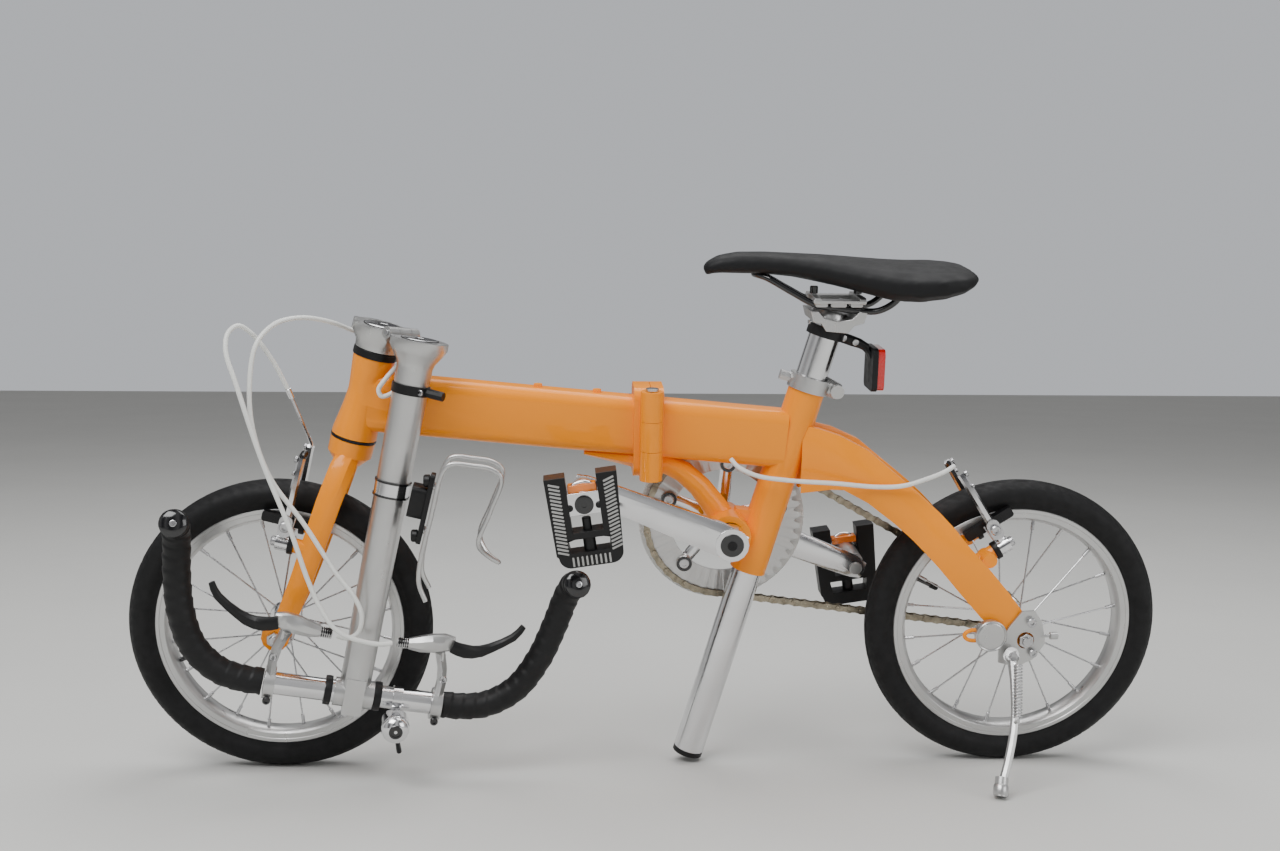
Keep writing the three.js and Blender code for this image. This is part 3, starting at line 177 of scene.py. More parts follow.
LOOK = {
    "paint": surface(
        "amber_paint", (1.0, 0.3, 0.0), 0.0, 0.38, spread=0.012, grain=260, depth=0.006, Coat_Weight=0.35,
        Coat_Roughness=0.06, Specular_IOR_Level=0.2,
    ),
    "satin_alloy": surface(
        "satin_alloy", (0.56, 0.56, 0.555), 0.9, 0.33, spread=0.06, grain=1600, depth=0.006,
        stretch=(1, 1, 0.15),
    ),
    "polished_alloy": surface(
        "polished_alloy", (0.78, 0.78, 0.79), 1.0, 0.17, spread=0.05, wear=0.05, grain=1400, depth=0.003,
        stretch=(0.2, 1, 1),
    ),
    "steel": surface("bolt_steel", (0.55, 0.55, 0.56), 1.0, 0.28, grain=1500, depth=0.005),
    "chain_metal": surface(
        "chain_metal", (0.3, 0.265, 0.2), 0.95, 0.34, spread=0.35, blotch=160, wear=0.12, depth=0.01
    ),
    "black_plastic": surface(
        "black_plastic", (0.005, 0.005, 0.0055), 0.0, 0.42, spread=0.25, grain=1800, depth=0.02,
        Specular_IOR_Level=0.35,
    ),
    "gloss_black": surface(
        "gloss_black", (0.006, 0.006, 0.007), 0.0, 0.16, spread=0.2, wear=0.04, Coat_Weight=0.6
    ),
    "tyre_rubber": surface(
        "tyre_rubber", (0.005, 0.005, 0.0055), 0.0, 0.62, spread=0.3, blotch=60, wear=0.1, grain=1500,
        depth=0.05, Specular_IOR_Level=0.3,
    ),
    "bar_wrap": surface(
        "bar_wrap", (0.005, 0.005, 0.0055), 0.0, 0.55, spread=0.3, wear=0.1, cells=1100, depth=0.1,
        Specular_IOR_Level=0.35,
    ),
    "saddle_cover": surface(
        "saddle_cover", (0.005, 0.0052, 0.006), 0.0, 0.58, spread=0.2, wear=0.06, cells=1500, depth=0.06,
        Specular_IOR_Level=0.3,
    ),
    "cable_housing": surface(
        "cable_housing", (0.78, 0.79, 0.76), 0.0, 0.3, spread=0.03, grain=240, depth=0.002
    ),
    "guard_plastic": surface(
        "guard_plastic", (0.8, 0.8, 0.78), 0.0, 0.3, spread=0.05, grain=400, depth=0.01,
        Transmission_Weight=0.35,
    ),
    "red_lens": surface("red_lens", (0.55, 0.01, 0.008), 0.0, 0.12, cells=420, depth=0.35, Coat_Weight=1.0),
    "amber_lens": surface("amber_lens", (0.9, 0.22, 0.01), 0.0, 0.14, cells=420, depth=0.3, Coat_Weight=1.0),
    "tread_grey": surface("tread_grey", (0.36, 0.36, 0.35), 0.0, 0.62, spread=0.2, grain=1500, depth=0.06),
}


# ------------------------------------------------------------------ shapes: each is (points, faces), in mm
def join(*shapes):
    points, faces = [], []
    for more, polygons in shapes:
        start = len(points)
        points += more
        faces += [[i + start for i in polygon] for polygon in polygons]
    return points, faces


def across(axis):
    """Two directions square to an axis and to each other."""
    axis = Vector(axis).normalized()
    side = axis.cross(Z if abs(axis.z) < 0.9 else X).normalized()
    return side, axis.cross(side)


def rings(loops, closed=False):
    """Skins a row of equal loops; an open row gets flat ends."""
    count = len(loops[0])
    points = [p for loop in loops for p in loop]
    faces = []
    for r in range(len(loops) if closed else len(loops) - 1):
        a, b = r * count, ((r + 1) % len(loops)) * count
        faces += [[a + i, a + (i + 1) % count, b + (i + 1) % count, b + i] for i in range(count)]
    if not closed:
        faces += [list(range(count))[::-1], list(range(len(points) - count, len(points)))]
    return points, faces


def lathe(profile, middle, axis, segments=48, closed=True):
    """Turns (radius, height) points about an axis; a closed profile makes a ring."""
    axis = Vector(axis).normalized()
    u, v = across(axis)
    middle = Vector(middle)
    loops = []
    for i in range(segments):
        turn = 2 * math.pi * i / segments
        outward = u * math.cos(turn) + v * math.sin(turn)
        loops.append([middle + outward * radius + axis * height for radius, height in profile])
    points, faces = rings(loops, closed=True)
    if not closed:
        count = len(profile)
        faces = [f for k, f in enumerate(faces) if k % count != count - 1]
    return points, faces


def button(middle, axis, radius, height, recess=0.5):
    """A round bolt head with a chamfer and a socket."""
    profile = [
        (0.01, height * 0.35), (radius * recess, height * 0.4), (radius * recess, height * 0.92),
        (radius * 0.82, height), (radius, height * 0.75), (radius, 0), (0.01, 0),
    ]
    return lathe(profile, middle, axis, 28)


def hexagon(middle, axis, radius, height):
    profile = [(0.01, height), (radius * 0.8, height), (radius, height * 0.82), (radius, 0), (0.01, 0)]
    return lathe(profile, middle, axis, 6)


def smooth_path(points, steps=8):
    """Points on a curve through the given ones, evenly eased."""
    p = [Vector(q) for q in points]
    p = [p[0] * 2 - p[1]] + p + [p[-1] * 2 - p[-2]]
    path = []
    for i in range(1, len(p) - 2):
        t = [0.0]
        for a, b in zip(p[i - 1:i + 3], p[i:i + 3]):
            t.append(t[-1] + max((b - a).length, 1e-6) ** 0.5)
        for k in range(steps):
            s = t[1] + (t[2] - t[1]) * k / steps
            a = [p[i - 1 + m].lerp(p[i + m], (s - t[m]) / (t[m + 1] - t[m])) for m in range(3)]
            b = [a[m].lerp(a[m + 1], (s - t[m]) / (t[m + 2] - t[m])) for m in range(2)]
            path.append(b[0].lerp(b[1], (s - t[1]) / (t[2] - t[1])))
    return path + [p[-2]]


def tube(points, radius, sides=16, steps=8):
    """A round tube on a curve; radius is a number or a function of (length so far, total, turn)."""
    path = smooth_path(points, steps)
    lengths = [0.0]
    for a, b in zip(path, path[1:]):
        lengths.append(lengths[-1] + (b - a).length)
    side, _ = across(path[1] - path[0])
    loops = []
    for i, point in enumerate(path):
        ahead = (path[min(i + 1, len(path) - 1)] - path[max(i - 1, 0)]).normalized()
        side = (side - ahead * side.dot(ahead)).normalized()
        up = ahead.cross(side)
        loop = []
        for k in range(sides):
            turn = 2 * math.pi * k / sides
            r = radius(lengths[i], lengths[-1], turn) if callable(radius) else radius
            loop.append(point + (side * math.cos(turn) + up * math.sin(turn)) * r)
        loops.append(loop)
    return rings(loops)


def rod(a, b, radius, sides=20):
    a, b = Vector(a), Vector(b)
    edge = min(0.6, radius * 0.25)
    length = (b - a).length
    profile = [
        (0.01, 0), (radius - edge, 0), (radius, edge), (radius, length - edge), (radius - edge, length),
        (0.01, length),
    ]
    return lathe(profile, a, b - a, sides)


def slab(outline, middle, u, v, depth):
    """A flat outline given as (u, v) points, thickened to both sides of its plane."""
    u, v, middle = Vector(u).normalized(), Vector(v).normalized(), Vector(middle)
    normal = u.cross(v).normalized()
    loops = [[middle + u * p + v * q + normal * depth * s / 2 for p, q in outline] for s in (-1, 1)]
    return rings(loops)


def rounded(width, height, radius, steps=4):
    corners = []
    for k, (sx, sy) in enumerate(((1, 1), (-1, 1), (-1, -1), (1, -1))):
        for i in range(steps + 1):
            turn = math.pi / 2 * (k + i / steps)
            corners.append(
                (
                    sx * (width / 2 - radius) + radius * math.cos(turn),
                    sy * (height / 2 - radius) + radius * math.sin(turn),
                )
            )
    return corners


# ------------------------------------------------------------------ pieces
def finish_piece(obj, look, angle):
    """Look and edge shading for a piece."""
    obj.data.materials.append(LOOK[look])
    obj.data.shade_smooth()
    obj.data.set_sharp_from_angle(angle=math.radians(angle))


def piece(name, shape, look, body, at=BIKE, angle=35, replaces=(), ride=True):
    points, faces = shape
    mesh = bpy.data.meshes.new(name)
    mesh.from_pydata([at @ Vector(p) for p in points], [], faces)
    bm = bmesh.new()
    bm.from_mesh(mesh)
    bmesh.ops.remove_doubles(bm, verts=bm.verts, dist=2e-5)
    bmesh.ops.recalc_face_normals(bm, faces=bm.faces)
    bm.to_mesh(mesh)
    bm.free()
    obj = bpy.data.objects.new(name, mesh)
    bpy.context.scene.collection.objects.link(obj)
    finish_piece(obj, look, angle)
    if ride:
        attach(obj, body)
    if replaces:
        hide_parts(*replaces)
    return obj


def bevelled(obj, width, segments=2):
    bevel = obj.modifiers.new("edges", "BEVEL")
    bevel.width = width * MM
    bevel.segments = segments
    bevel.limit_method = "ANGLE"
    bevel.angle_limit = math.radians(38)
    bevel.harden_normals = True
    return obj


def dressed(node, look, angle=40, bevel=0.5):
    """A copy of a CAD node with welded points, rounded edges and its own finish, in the node's place."""
    bm = bmesh.new()
    bm.from_mesh(NODES[node].data)
    bmesh.ops.remove_doubles(bm, verts=bm.verts, dist=1e-5)
    bmesh.ops.dissolve_degenerate(bm, edges=bm.edges, dist=5e-5)
    bmesh.ops.dissolve_limit(bm, angle_limit=math.radians(1.0), verts=bm.verts, edges=bm.edges)
    bm.verts.index_update()
    points = [v.co.copy() for v in bm.verts]
    faces = [[v.index for v in f.verts] for f in bm.faces]
    bm.free()
    obj = piece(
        f"{node}_shape", (points, faces), look, BODY_OF[node], at=Matrix.Identity(4), angle=angle,
        replaces=(node,),
    )
    if bevel:
        bevelled(obj, bevel)
    return obj


# ------------------------------------------------------------------ camera, floor and lights
IMAGE_WIDTH, SENSOR = 1280, 36.0
FOCAL_PIXELS = 1456.6
VIEWPOINT = Vector((-0.1057, -1.5773, 0.4896))
VIEW_TURN, VIEW_DIP, VIEW_ROLL = math.radians(-3.32), math.radians(90 - 3.91), math.radians(0.41)


def make_camera():
    data = bpy.data.cameras.new("camera")
    data.sensor_width = SENSOR
    data.lens = FOCAL_PIXELS * SENSOR / IMAGE_WIDTH
    camera = bpy.data.objects.new("camera", data)
    camera.matrix_world = (
        Matrix.Translation(VIEWPOINT) @ Matrix.Rotation(VIEW_TURN, 4, "Z")
        @ Matrix.Rotation(VIEW_DIP, 4, "X") @ Matrix.Rotation(VIEW_ROLL, 4, "Z")
    )
    bpy.context.scene.collection.objects.link(camera)
    bpy.context.scene.camera = camera


def area_light(name, place, aim, size, power):
    data = bpy.data.lights.new(name, "AREA")
    data.shape = "RECTANGLE"
    data.size, data.size_y = size
    data.energy = power
    light = bpy.data.objects.new(name, data)
    light.location = place
    light.rotation_euler = (Vector(aim) - Vector(place)).to_track_quat("-Z", "Y").to_euler()
    bpy.context.scene.collection.objects.link(light)


def make_studio():
    floor_look = surface("floor", (0.62, 0.62, 0.6), 0.0, 0.75, spread=0.02, blotch=2, grain=120, depth=0.1)
    mesh = bpy.data.meshes.new("floor")
    mesh.from_pydata([(-9, -6, 0), (9, -6, 0), (9, 9, 0), (-9, 9, 0)], [], [(0, 1, 2, 3)])
    mesh.materials.append(floor_look)
    floor = bpy.data.objects.new("floor", mesh)
    bpy.context.scene.collection.objects.link(floor)
    world = bpy.data.worlds.new("studio")
    world.use_nodes = True
    tree = world.node_tree
    plain = tree.nodes["Background"]
    plain.inputs["Color"].default_value = (0.74, 0.76, 0.8, 1)
    plain.inputs["Strength"].default_value = 0.72
    softboxes = tree.nodes.new("ShaderNodeBackground")
    coords = tree.nodes.new("ShaderNodeTexCoord")
    panels = tree.nodes.new("ShaderNodeTexWave")
    panels.bands_direction = "X"
    panels.inputs["Scale"].default_value = 0.55
    panels.inputs["Distortion"].default_value = 1.5
    shades = tree.nodes.new("ShaderNodeValToRGB")
    shades.color_ramp.elements[0].color = (0.1, 0.1, 0.11, 1)
    shades.color_ramp.elements[1].color = (1, 1, 1, 1)
    tree.links.new(coords.outputs["Generated"], panels.inputs["Vector"])
    tree.links.new(panels.outputs["Fac"], shades.inputs["Fac"])
    tree.links.new(shades.outputs["Color"], softboxes.inputs["Color"])
    softboxes.inputs["Strength"].default_value = 0.55
    path = tree.nodes.new("ShaderNodeLightPath")
    both = tree.nodes.new("ShaderNodeMixShader")
    tree.links.new(path.outputs["Is Camera Ray"], both.inputs["Fac"])
    tree.links.new(softboxes.outputs["Background"], both.inputs[1])
    tree.links.new(plain.outputs["Background"], both.inputs[2])
    tree.links.new(both.outputs["Shader"], tree.nodes["World Output"].inputs["Surface"])
    bpy.context.scene.world = world
    area_light("key", (-1.2, -1.6, 2.6), (0, 0, 0.2), (2.2, 1.6), 84)
    area_light("overhead", (0.5, 0.6, 2.8), (0, 0, 0.2), (3.0, 1.6), 56)
    area_light("fill", (2.2, -1.8, 1.1), (0, 0, 0.3), (1.6, 1.4), 20)


make_camera()
make_studio()

# ------------------------------------------------------------------ wheels
RIM_RADIUS = 132.2
SPOKES = 20
NIPPLE_RADIUS = 119.6
TREAD_EDGE = 13.5
GROOVE = (3.2, 4.6)


def tread(turn, across_mm):
    """Depth of the tread pattern at a place on the tyre: a ribbed centre and slanted shoulder blocks."""
    offset = abs(across_mm)
    if offset > TREAD_EDGE:
        return 0.0
    if GROOVE[0] < offset < GROOVE[1]:
        return 1.1
    shoulder = offset > GROOVE[1]
    phase = (turn / (2 * math.pi) * (84 if shoulder else 42) + offset * 0.09) % 1.0
    if shoulder and phase < 0.22:
        return 1.1
    return 0.7 if phase < 0.16 and offset < 2.2 else 0.0


def tyre(axle):
    height, half = 15.8, 18.0
    section = []
    for k in range(45):
        angle = math.radians(-128 + 256 * k / 44)
        section.append((math.cos(angle) * height + WHEEL_RADIUS - height, math.sin(angle) * half))
    section = [(131, -10.5), (134.6, -12.7)] + section + [(134.6, 12.7), (131, 10.5)]
    segments = 336
    loops = []
    for i in range(segments):
        turn = 2 * math.pi * i / segments
        outward = Vector((math.cos(turn), 0, math.sin(turn)))
        loop = []
        for radius, side in section:
            worn = tread(turn, side) if radius > WHEEL_RADIUS - 12 else 0.0
            loop.append(axle + outward * (radius - worn) + Y * side)
        loops.append(loop)
    return rings(loops, closed=True)


def rim(axle):
    inner, outer, wall = 119.5, RIM_RADIUS + 1.6, 12.2
    profile = [
        (inner, -7), (inner + 3, -wall + 0.8), (inner + 4, -wall), (inner + 4.6, -wall), (outer - 5, -wall),
        (outer - 4.5, -wall - 0.5), (outer - 1, -wall - 0.5), (outer, -wall + 0.5), (outer, wall - 0.5),
        (outer - 1, wall + 0.5), (outer - 4.5, wall + 0.5), (outer - 5, wall), (inner + 4.6, wall),
        (inner + 4, wall), (inner + 3, wall - 0.8), (inner, 7),
    ]
    return lathe(profile, axle, Y, 144)


def spoke_ends(axle, flange_y, flange_radius):
    for side in (-1, 1):
        for i in range(SPOKES // 2):
            angle = 2 * math.pi * (i + 0.25 * side) / (SPOKES // 2)
            outward = Vector((math.cos(angle), 0, -math.sin(angle)))
            start = axle + outward * (flange_radius - 3) + Y * side * (flange_y + 1.5)
            yield start, axle + outward * NIPPLE_RADIUS + Y * side * 3


def spokes(axle, flange_y, flange_radius):
    shapes = []
    for start, end in spoke_ends(axle, flange_y, flange_radius):
        ahead = (end - start).normalized()
        out = Y * math.copysign(1, (start - axle).y)
        shapes.append(rod(start, end, 0.95, 10))
        shapes.append(rod(end - ahead * 11, end, 1.9, 12))
        shapes.append(button(start + out * 1.6, out, 2.0, 1.2))
    return join(*shapes)


def hub(axle, flange_y, shell, flange):
    edge = flange_y + 3
    profile = [
        (5.2, -edge - 5), (8.4, -edge - 5), (9, -edge - 4), (9, -edge), (flange - 1, -edge),
        (flange, -edge + 0.8), (flange, -flange_y - 0.8), (flange - 1, -flange_y),
        (shell + 2.5, -flange_y + 0.6), (shell, -flange_y + 4), (shell - 0.8, 0), (shell, flange_y - 4),
        (shell + 2.5, flange_y - 0.6), (flange - 1, flange_y), (flange, flange_y + 0.8),
        (flange, edge - 0.8), (flange - 1, edge), (9, edge), (9, edge + 4), (8.4, edge + 5),
        (5.2, edge + 5),
    ]
    return lathe(profile, axle, Y, 56)


def valve(axle, angle):
    outward = Vector((math.cos(angle), 0, math.sin(angle)))
    stem = lathe([(0.01, 22), (2.6, 22), (2.6, 0), (0.01, 0)], axle + outward * 97, outward, 20)
    cap = lathe([(0.01, 0), (2.6, 0), (3.4, 1.5), (3.6, 9), (0.01, 9.2)], axle + outward * 92, outward, 14)
    return stem, cap


VALVE_ANGLE = {"front": math.radians(200), "rear": math.radians(155)}
for end, axle, flange_y, shell, flange in (
    ("front", FRONT_AXLE, 24, 11, 18), ("rear", REAR_AXLE, 25, 15, 22)
):
    wheel = f"{end}_wheel"
    piece(f"{end}_tyre_tread", tyre(axle), "tyre_rubber", wheel, angle=32, replaces=(f"{end}_tyre",))
    piece(f"{end}_rim_ring", rim(axle), "satin_alloy", wheel, replaces=(f"{end}_rim",))
    piece(
        f"{end}_hub_shell", hub(axle, flange_y, shell, flange), "polished_alloy", wheel,
        replaces=(f"{end}_hub",),
    )
    piece(f"{end}_spokes", spokes(axle, flange_y, flange), "steel", wheel)
    stem, cap = valve(axle, VALVE_ANGLE[end])
    piece(f"{end}_valve_stem", stem, "gloss_black", wheel)
    piece(f"{end}_valve_cap", cap, "black_plastic", wheel)
    dressed(f"{end}_axle", "steel", bevel=0.6)

# ------------------------------------------------------------------ frame, fork and painted parts
HEAD = BIKE @ Matrix.Translation(HEAD_TOP) @ Matrix.Rotation(HEAD_ANGLE, 4, "Y")
HEAD_TUBE = 87.8
HEAD_REACH = 34
WAIST = 0.12


def waisted(obj):
    """Draws the head tube in between its two ends."""
    bm = bmesh.new()
    bm.from_mesh(obj.data)
    up = (HEAD.to_3x3() @ Z).normalized()
    for k in range(1, 16):
        near = [f for f in bm.faces if any((HEAD.inverted() @ v.co).xy.length < HEAD_REACH for v in f.verts)]
        parts = near + list({e for f in near for e in f.edges}) + list({v for f in near for v in f.verts})
        bmesh.ops.bisect_plane(
            bm, geom=parts, dist=1e-6, plane_co=HEAD @ Vector((0, 0, -HEAD_TUBE * k / 16)), plane_no=up
        )
    for vert in bm.verts:
        local = HEAD.inverted() @ vert.co
        along = -local.z / HEAD_TUBE
        if local.xy.length < HEAD_REACH and 0 < along < 1:
            slim = 1 - WAIST * math.sin(math.pi * along) ** 1.5
            vert.co = HEAD @ Vector((local.x * slim, local.y * slim, local.z))
    bm.to_mesh(obj.data)
    bm.free()
    obj.data.set_sharp_from_angle(angle=math.radians(38))


waisted(dressed("front_frame", "paint", angle=38, bevel=0.8))
for node in ("rear_frame", "left_stay", "right_stay", "fork"):
    dressed(node, "paint", angle=38, bevel=0.8)
for node in (
    "frame_latch", "handlepost_base", "handlepost_latch", "handlepost", "left_lever_body",
    "right_lever_body", "seat_clamp", "left_pedal_block", "right_pedal_block", "kickstand_bracket",
    "kickstand_leg",
):
    dressed(node, "satin_alloy", angle=40, bevel=0.6)
for node in (
    "handlebar", "bell", "seatpost", "left_crank", "right_crank", "front_left_brake_arm",
    "front_right_brake_arm", "rear_left_brake_arm", "rear_right_brake_arm",
):
    dressed(node, "polished_alloy", angle=42, bevel=0.6)
for node in ("hinge_pin", "handlepost_hinge_pin", "crank_spindle"):
    dressed(node, "steel", angle=40, bevel=0.4)
for node in (
    "headset", "left_brake_lever", "right_brake_lever", "bell_striker", "front_bracket", "seatpost_foot",
    "reflector_bracket", "left_pedal_platform", "right_pedal_platform",
):
    dressed(node, "black_plastic", angle=45, bevel=0.5)
dressed("rear_reflector", "red_lens", bevel=0.8)

# ------------------------------------------------------------------ drivetrain
RING_RADIUS, RING_TEETH = 85, 42
COG_RADIUS, COG_TEETH = 20.3, 10
CHAIN_LINE = 34
PITCH = 12.7


def toothed(middle, pitch_radius, teeth, bore, low, high):
    """A sprocket with rounded teeth, as four walls between its bore and its tooth line."""
    steps = 10
    count = teeth * steps
    root, rise = 3.9, 7.0
    loops = [[], [], [], []]
    for i in range(count):
        turn = 2 * math.pi * i / count
        phase = abs((i % steps) / steps - 0.5) * 2
        radius = pitch_radius - root + rise * min(1.0, max(0.0, (0.78 - phase) / 0.42)) ** 1.4
        outward = Vector((math.cos(turn), 0, math.sin(turn)))
        thin = 0.5 if radius > pitch_radius else 0.0
        loops[0].append(middle + outward * bore + Y * low)
        loops[1].append(middle + outward * radius + Y * (low + thin))
        loops[2].append(middle + outward * radius + Y * (high - thin))
        loops[3].append(middle + outward * bore + Y * high)
    return rings(loops, closed=True)


def chain_run():
    """Points along the pitch line, one for each link pin."""
    start, end = Vector((CRANK_AXIS.x, CRANK_AXIS.z)), Vector((REAR_AXLE.x, REAR_AXLE.z))
    span = end - start
    heading = math.atan2(span.y, span.x)
    open_by = math.acos((RING_RADIUS - COG_RADIUS) / span.length)
    line = []
    for centre, radius, first, last in (
        (start, RING_RADIUS, heading + open_by, heading - open_by + 2 * math.pi),
        (end, COG_RADIUS, heading - open_by, heading + open_by),
    ):
        for i in range(81):
            turn = first + (last - first) * i / 80
            line.append(centre + Vector((math.cos(turn), math.sin(turn))) * radius)
    line.append(line[0])
    lengths = [(b - a).length for a, b in zip(line, line[1:])]
    links = 2 * round(sum(lengths) / PITCH / 2)
    pins, gone, k = [], 0.0, 0
    for i in range(links):
        target = sum(lengths) * i / links
        while gone + lengths[k] < target:
            gone += lengths[k]
            k += 1
        pins.append(line[k].lerp(line[k + 1], (target - gone) / lengths[k]))
    return [Vector((p.x, CHAIN_LINE, p.y)) for p in pins]


def link_plate(a, b, y):
    """A waisted side plate round two pins."""
    end = 3.9
    ahead = (b - a).normalized()
    up = ahead.cross(Y)
    half = (b - a).length / 2
    outline = []
    for sign in (1, -1):
        for i in range(9):
            turn = -math.pi / 2 + math.pi * i / 8
            outline.append((sign * (half + end * math.cos(turn)), sign * end * math.sin(turn)))
        outline.append((0, sign * 2.9))
    return slab(outline, (a + b) / 2 + Y * y, ahead, up, 1.0)


pins = chain_run()
outer_plates, inner_plates, rollers = [], [], []
for i, (a, b) in enumerate(zip(pins, pins[1:] + pins[:1])):
    target, reach = (outer_plates, 3.5) if i % 2 else (inner_plates, 2.3)
    target += [link_plate(a, b, reach), link_plate(a, b, -reach)]
    rollers.append(rod(a - Y * 1.7, a + Y * 1.7, 3.7, 14))
    outer_plates.append(rod(a - Y * 4.3, a + Y * 4.3, 1.7, 10))
piece(
    "chain_links", join(*outer_plates, *inner_plates, *rollers), "chain_metal", "rear_half",
    replaces=("chain",),
)

SPIDER_RADIUS, SPIDER_START = 65, math.radians(14)
spider = [
    CRANK_AXIS + Vector(
        (math.cos(SPIDER_START + 2 * math.pi * i / 5), 0, math.sin(SPIDER_START + 2 * math.pi * i / 5))
    ) * SPIDER_RADIUS
    for i in range(5)
]
ring = toothed(CRANK_AXIS, RING_RADIUS, RING_TEETH, 58, CHAIN_LINE - 1, CHAIN_LINE + 1.3)
bosses = [
    lathe([(4.2, -4), (8.5, -4), (9, -3), (9, 5.4), (4.2, 5.4)], p + Y * CHAIN_LINE, Y, 24) for p in spider
]
piece("chainring_teeth", join(ring, *bosses), "satin_alloy", "crankset", replaces=("chainring",))
piece(
    "chainring_bolts",
    join(
        *(hexagon(p + Y * 40, Y, 5.4, 5.5) for p in spider),
        *(button(p + Y * 30.4, -Y, 5.8, 1.8) for p in spider),
    ),
    "steel", "crankset",
)
bolt_rings = [
    lathe([(5.9, low), (8.6, low), (8.6, low + 1.9), (5.9, low + 1.9)], (p.x, 0, p.z), Y, 24)
    for p in spider for low in (28.2, 42.6)
]
piece("chainring_bolt_rings", join(*bolt_rings), "gloss_black", "crankset")
guard = [
    (70, 42.6), (70.4, 42.2), (92.4, 42.2), (93, 42.7), (93, 43.8), (92.4, 44.2), (89, 44.2), (88.4, 43.7),
    (74, 43.7), (73.4, 44.2), (70.4, 44.2),
]
piece(
    "guard_ring", lathe(guard, (CRANK_AXIS.x, 0, CRANK_AXIS.z), Y, 144), "guard_plastic", "crankset",
    replaces=("chain_guard",),
)
piece(
    "cog_teeth", toothed(REAR_AXLE, COG_RADIUS, COG_TEETH, 8.8, CHAIN_LINE - 1.2, CHAIN_LINE + 1.2),
    "chain_metal", "rear_sprocket", replaces=("rear_cog",),
)
for name, side in SIDES.items():
    boss = CRANK_AXIS + Y * side * 63.5
    cap = [(0.01, 1.6), (9.5, 1.6), (12.2, 1.2), (12.6, 0.2), (12.6, 0), (0.01, 0)]
    piece(f"{name}_crank_cap", lathe(cap, boss, Y * side, 40), "gloss_black", "crankset")
    piece(
        f"{name}_crank_cap_socket", button(boss + Y * side * 1.4, Y * side, 5.2, 0.9), "black_plastic",
        "crankset",
    )

# ------------------------------------------------------------------ handlebar
TAPE_RADIUS = 14.5
TAPE_PITCH = 14.0
HORN = [
    (0, 95, 0), (0, 118, 1), (-1, 143, 8), (-1, 170, 29), (-1, 188, 64), (-1, 198, 104), (-5, 203, 138),
    (-17, 206, 157), (-36, 207, 163),
]


def wrapped(gone, total, turn):
    """Radius of overlapping tape: each turn rises to its edge and drops to the next."""
    phase = (gone / TAPE_PITCH + turn / (2 * math.pi)) % 1.0
    return TAPE_RADIUS - 1.1 * (1 - min(1.0, phase / 0.9)) - (0.4 if phase > 0.93 else 0.0)


for name, side in SIDES.items():
    horn = [Vector((x, side * y, POST_LENGTH - drop)) for x, y, drop in HORN]
    piece(
        f"{name}_tape_wrap", tube(horn, wrapped, 32, 18), "bar_wrap", "handlepost", at=POST, angle=50,
        replaces=(f"{name}_bar_tape",),
    )
    out = (horn[-1] - horn[-2]).normalized()
    dome = [(0.01, 3.4), (6, 3.2), (11.5, 2.2), (13.6, 0.4), (13.6, -1.5), (0.01, -1.5)]
    piece(f"{name}_plug", lathe(dome, horn[-1], out, 40), "gloss_black", "handlepost", at=POST)
    piece(f"{name}_plug_screw", button(horn[-1] + out * 3.0, out, 3.4, 1.1), "steel", "handlepost", at=POST)
    clamp = Vector((0, side * 88, POST_LENGTH))
    piece(
        f"{name}_clamp_bolt", button(clamp + Vector((-12.5, 0, 15)), -X, 4.2, 4), "gloss_black",
        "handlepost", at=POST,
    )
    piece(
        f"{name}_leg_bolt", button(clamp + Vector((-13.5, side, -33)), -X, 4.0, 4), "steel", "handlepost",
        at=POST,
    )
    ribs = [(5.7 if k % 2 else 4.9, 1.2 + k * 1.1) for k in range(10)]
    ribs = [(0.01, 0), (4.6, 0)] + ribs + [(4.6, 13), (0.01, 13)]
    piece(
        f"{name}_cable_adjuster", lathe(ribs, (-15, side * 47, POST_LENGTH - 66.8), Y * -side, 24),
        "black_plastic", "handlepost", at=POST,
    )
black_bands = [
    lathe([(12.2, -4), (15.2, -3.6), (15.6, 0), (15.2, 3.6), (12.2, 4)], (0, y, POST_LENGTH), Y, 40)
    for y in (-27, 25)
]
piece("bar_bands", join(*black_bands), "black_plastic", "handlepost", at=POST)
clamp_bolts = [button((x, y, POST_LENGTH + 19), Z, 3.2, 2.6) for x in (-12.5, 12.5) for y in (-5.5, 5.5)]
piece("bar_clamp_bolts", join(*clamp_bolts), "steel", "handlepost", at=POST)
bell_dome = [(0.01, 10), (7, 9.2), (12, 6.5), (14.5, 2), (14.9, 0), (13.6, 0), (0.01, 0.4)]
piece(
    "bell_centre", button((-45, 47, POST_LENGTH + 20), -X, 7.2, 2.2, 0.7), "gloss_black", "handlepost",
    at=POST,
)
piece(
    "bell_dome", lathe(bell_dome, (-36, 47, POST_LENGTH + 20), -X, 56), "polished_alloy", "handlepost",
    at=POST,
)

# ------------------------------------------------------------------ saddle
RAILS = [
    (-149, 34, 535), (-158, 30, 524), (-172, 25, 516), (-190, 22, 515.5), (-214, 22, 518), (-238, 22, 522),
    (-262, 18, 534), (-288, 12, 548),
]
rail = [(x, -half, z) for x, half, z in RAILS] + [(-300, 0, 551)]
rail += [(x, half, z) for x, half, z in reversed(RAILS)]
piece(
    "saddle_rail_rods", tube(rail, 3.5, 16), "gloss_black", "saddle_unit", angle=60,
    replaces=("saddle_rails",),
)

SADDLE_DEPTH = 1.2


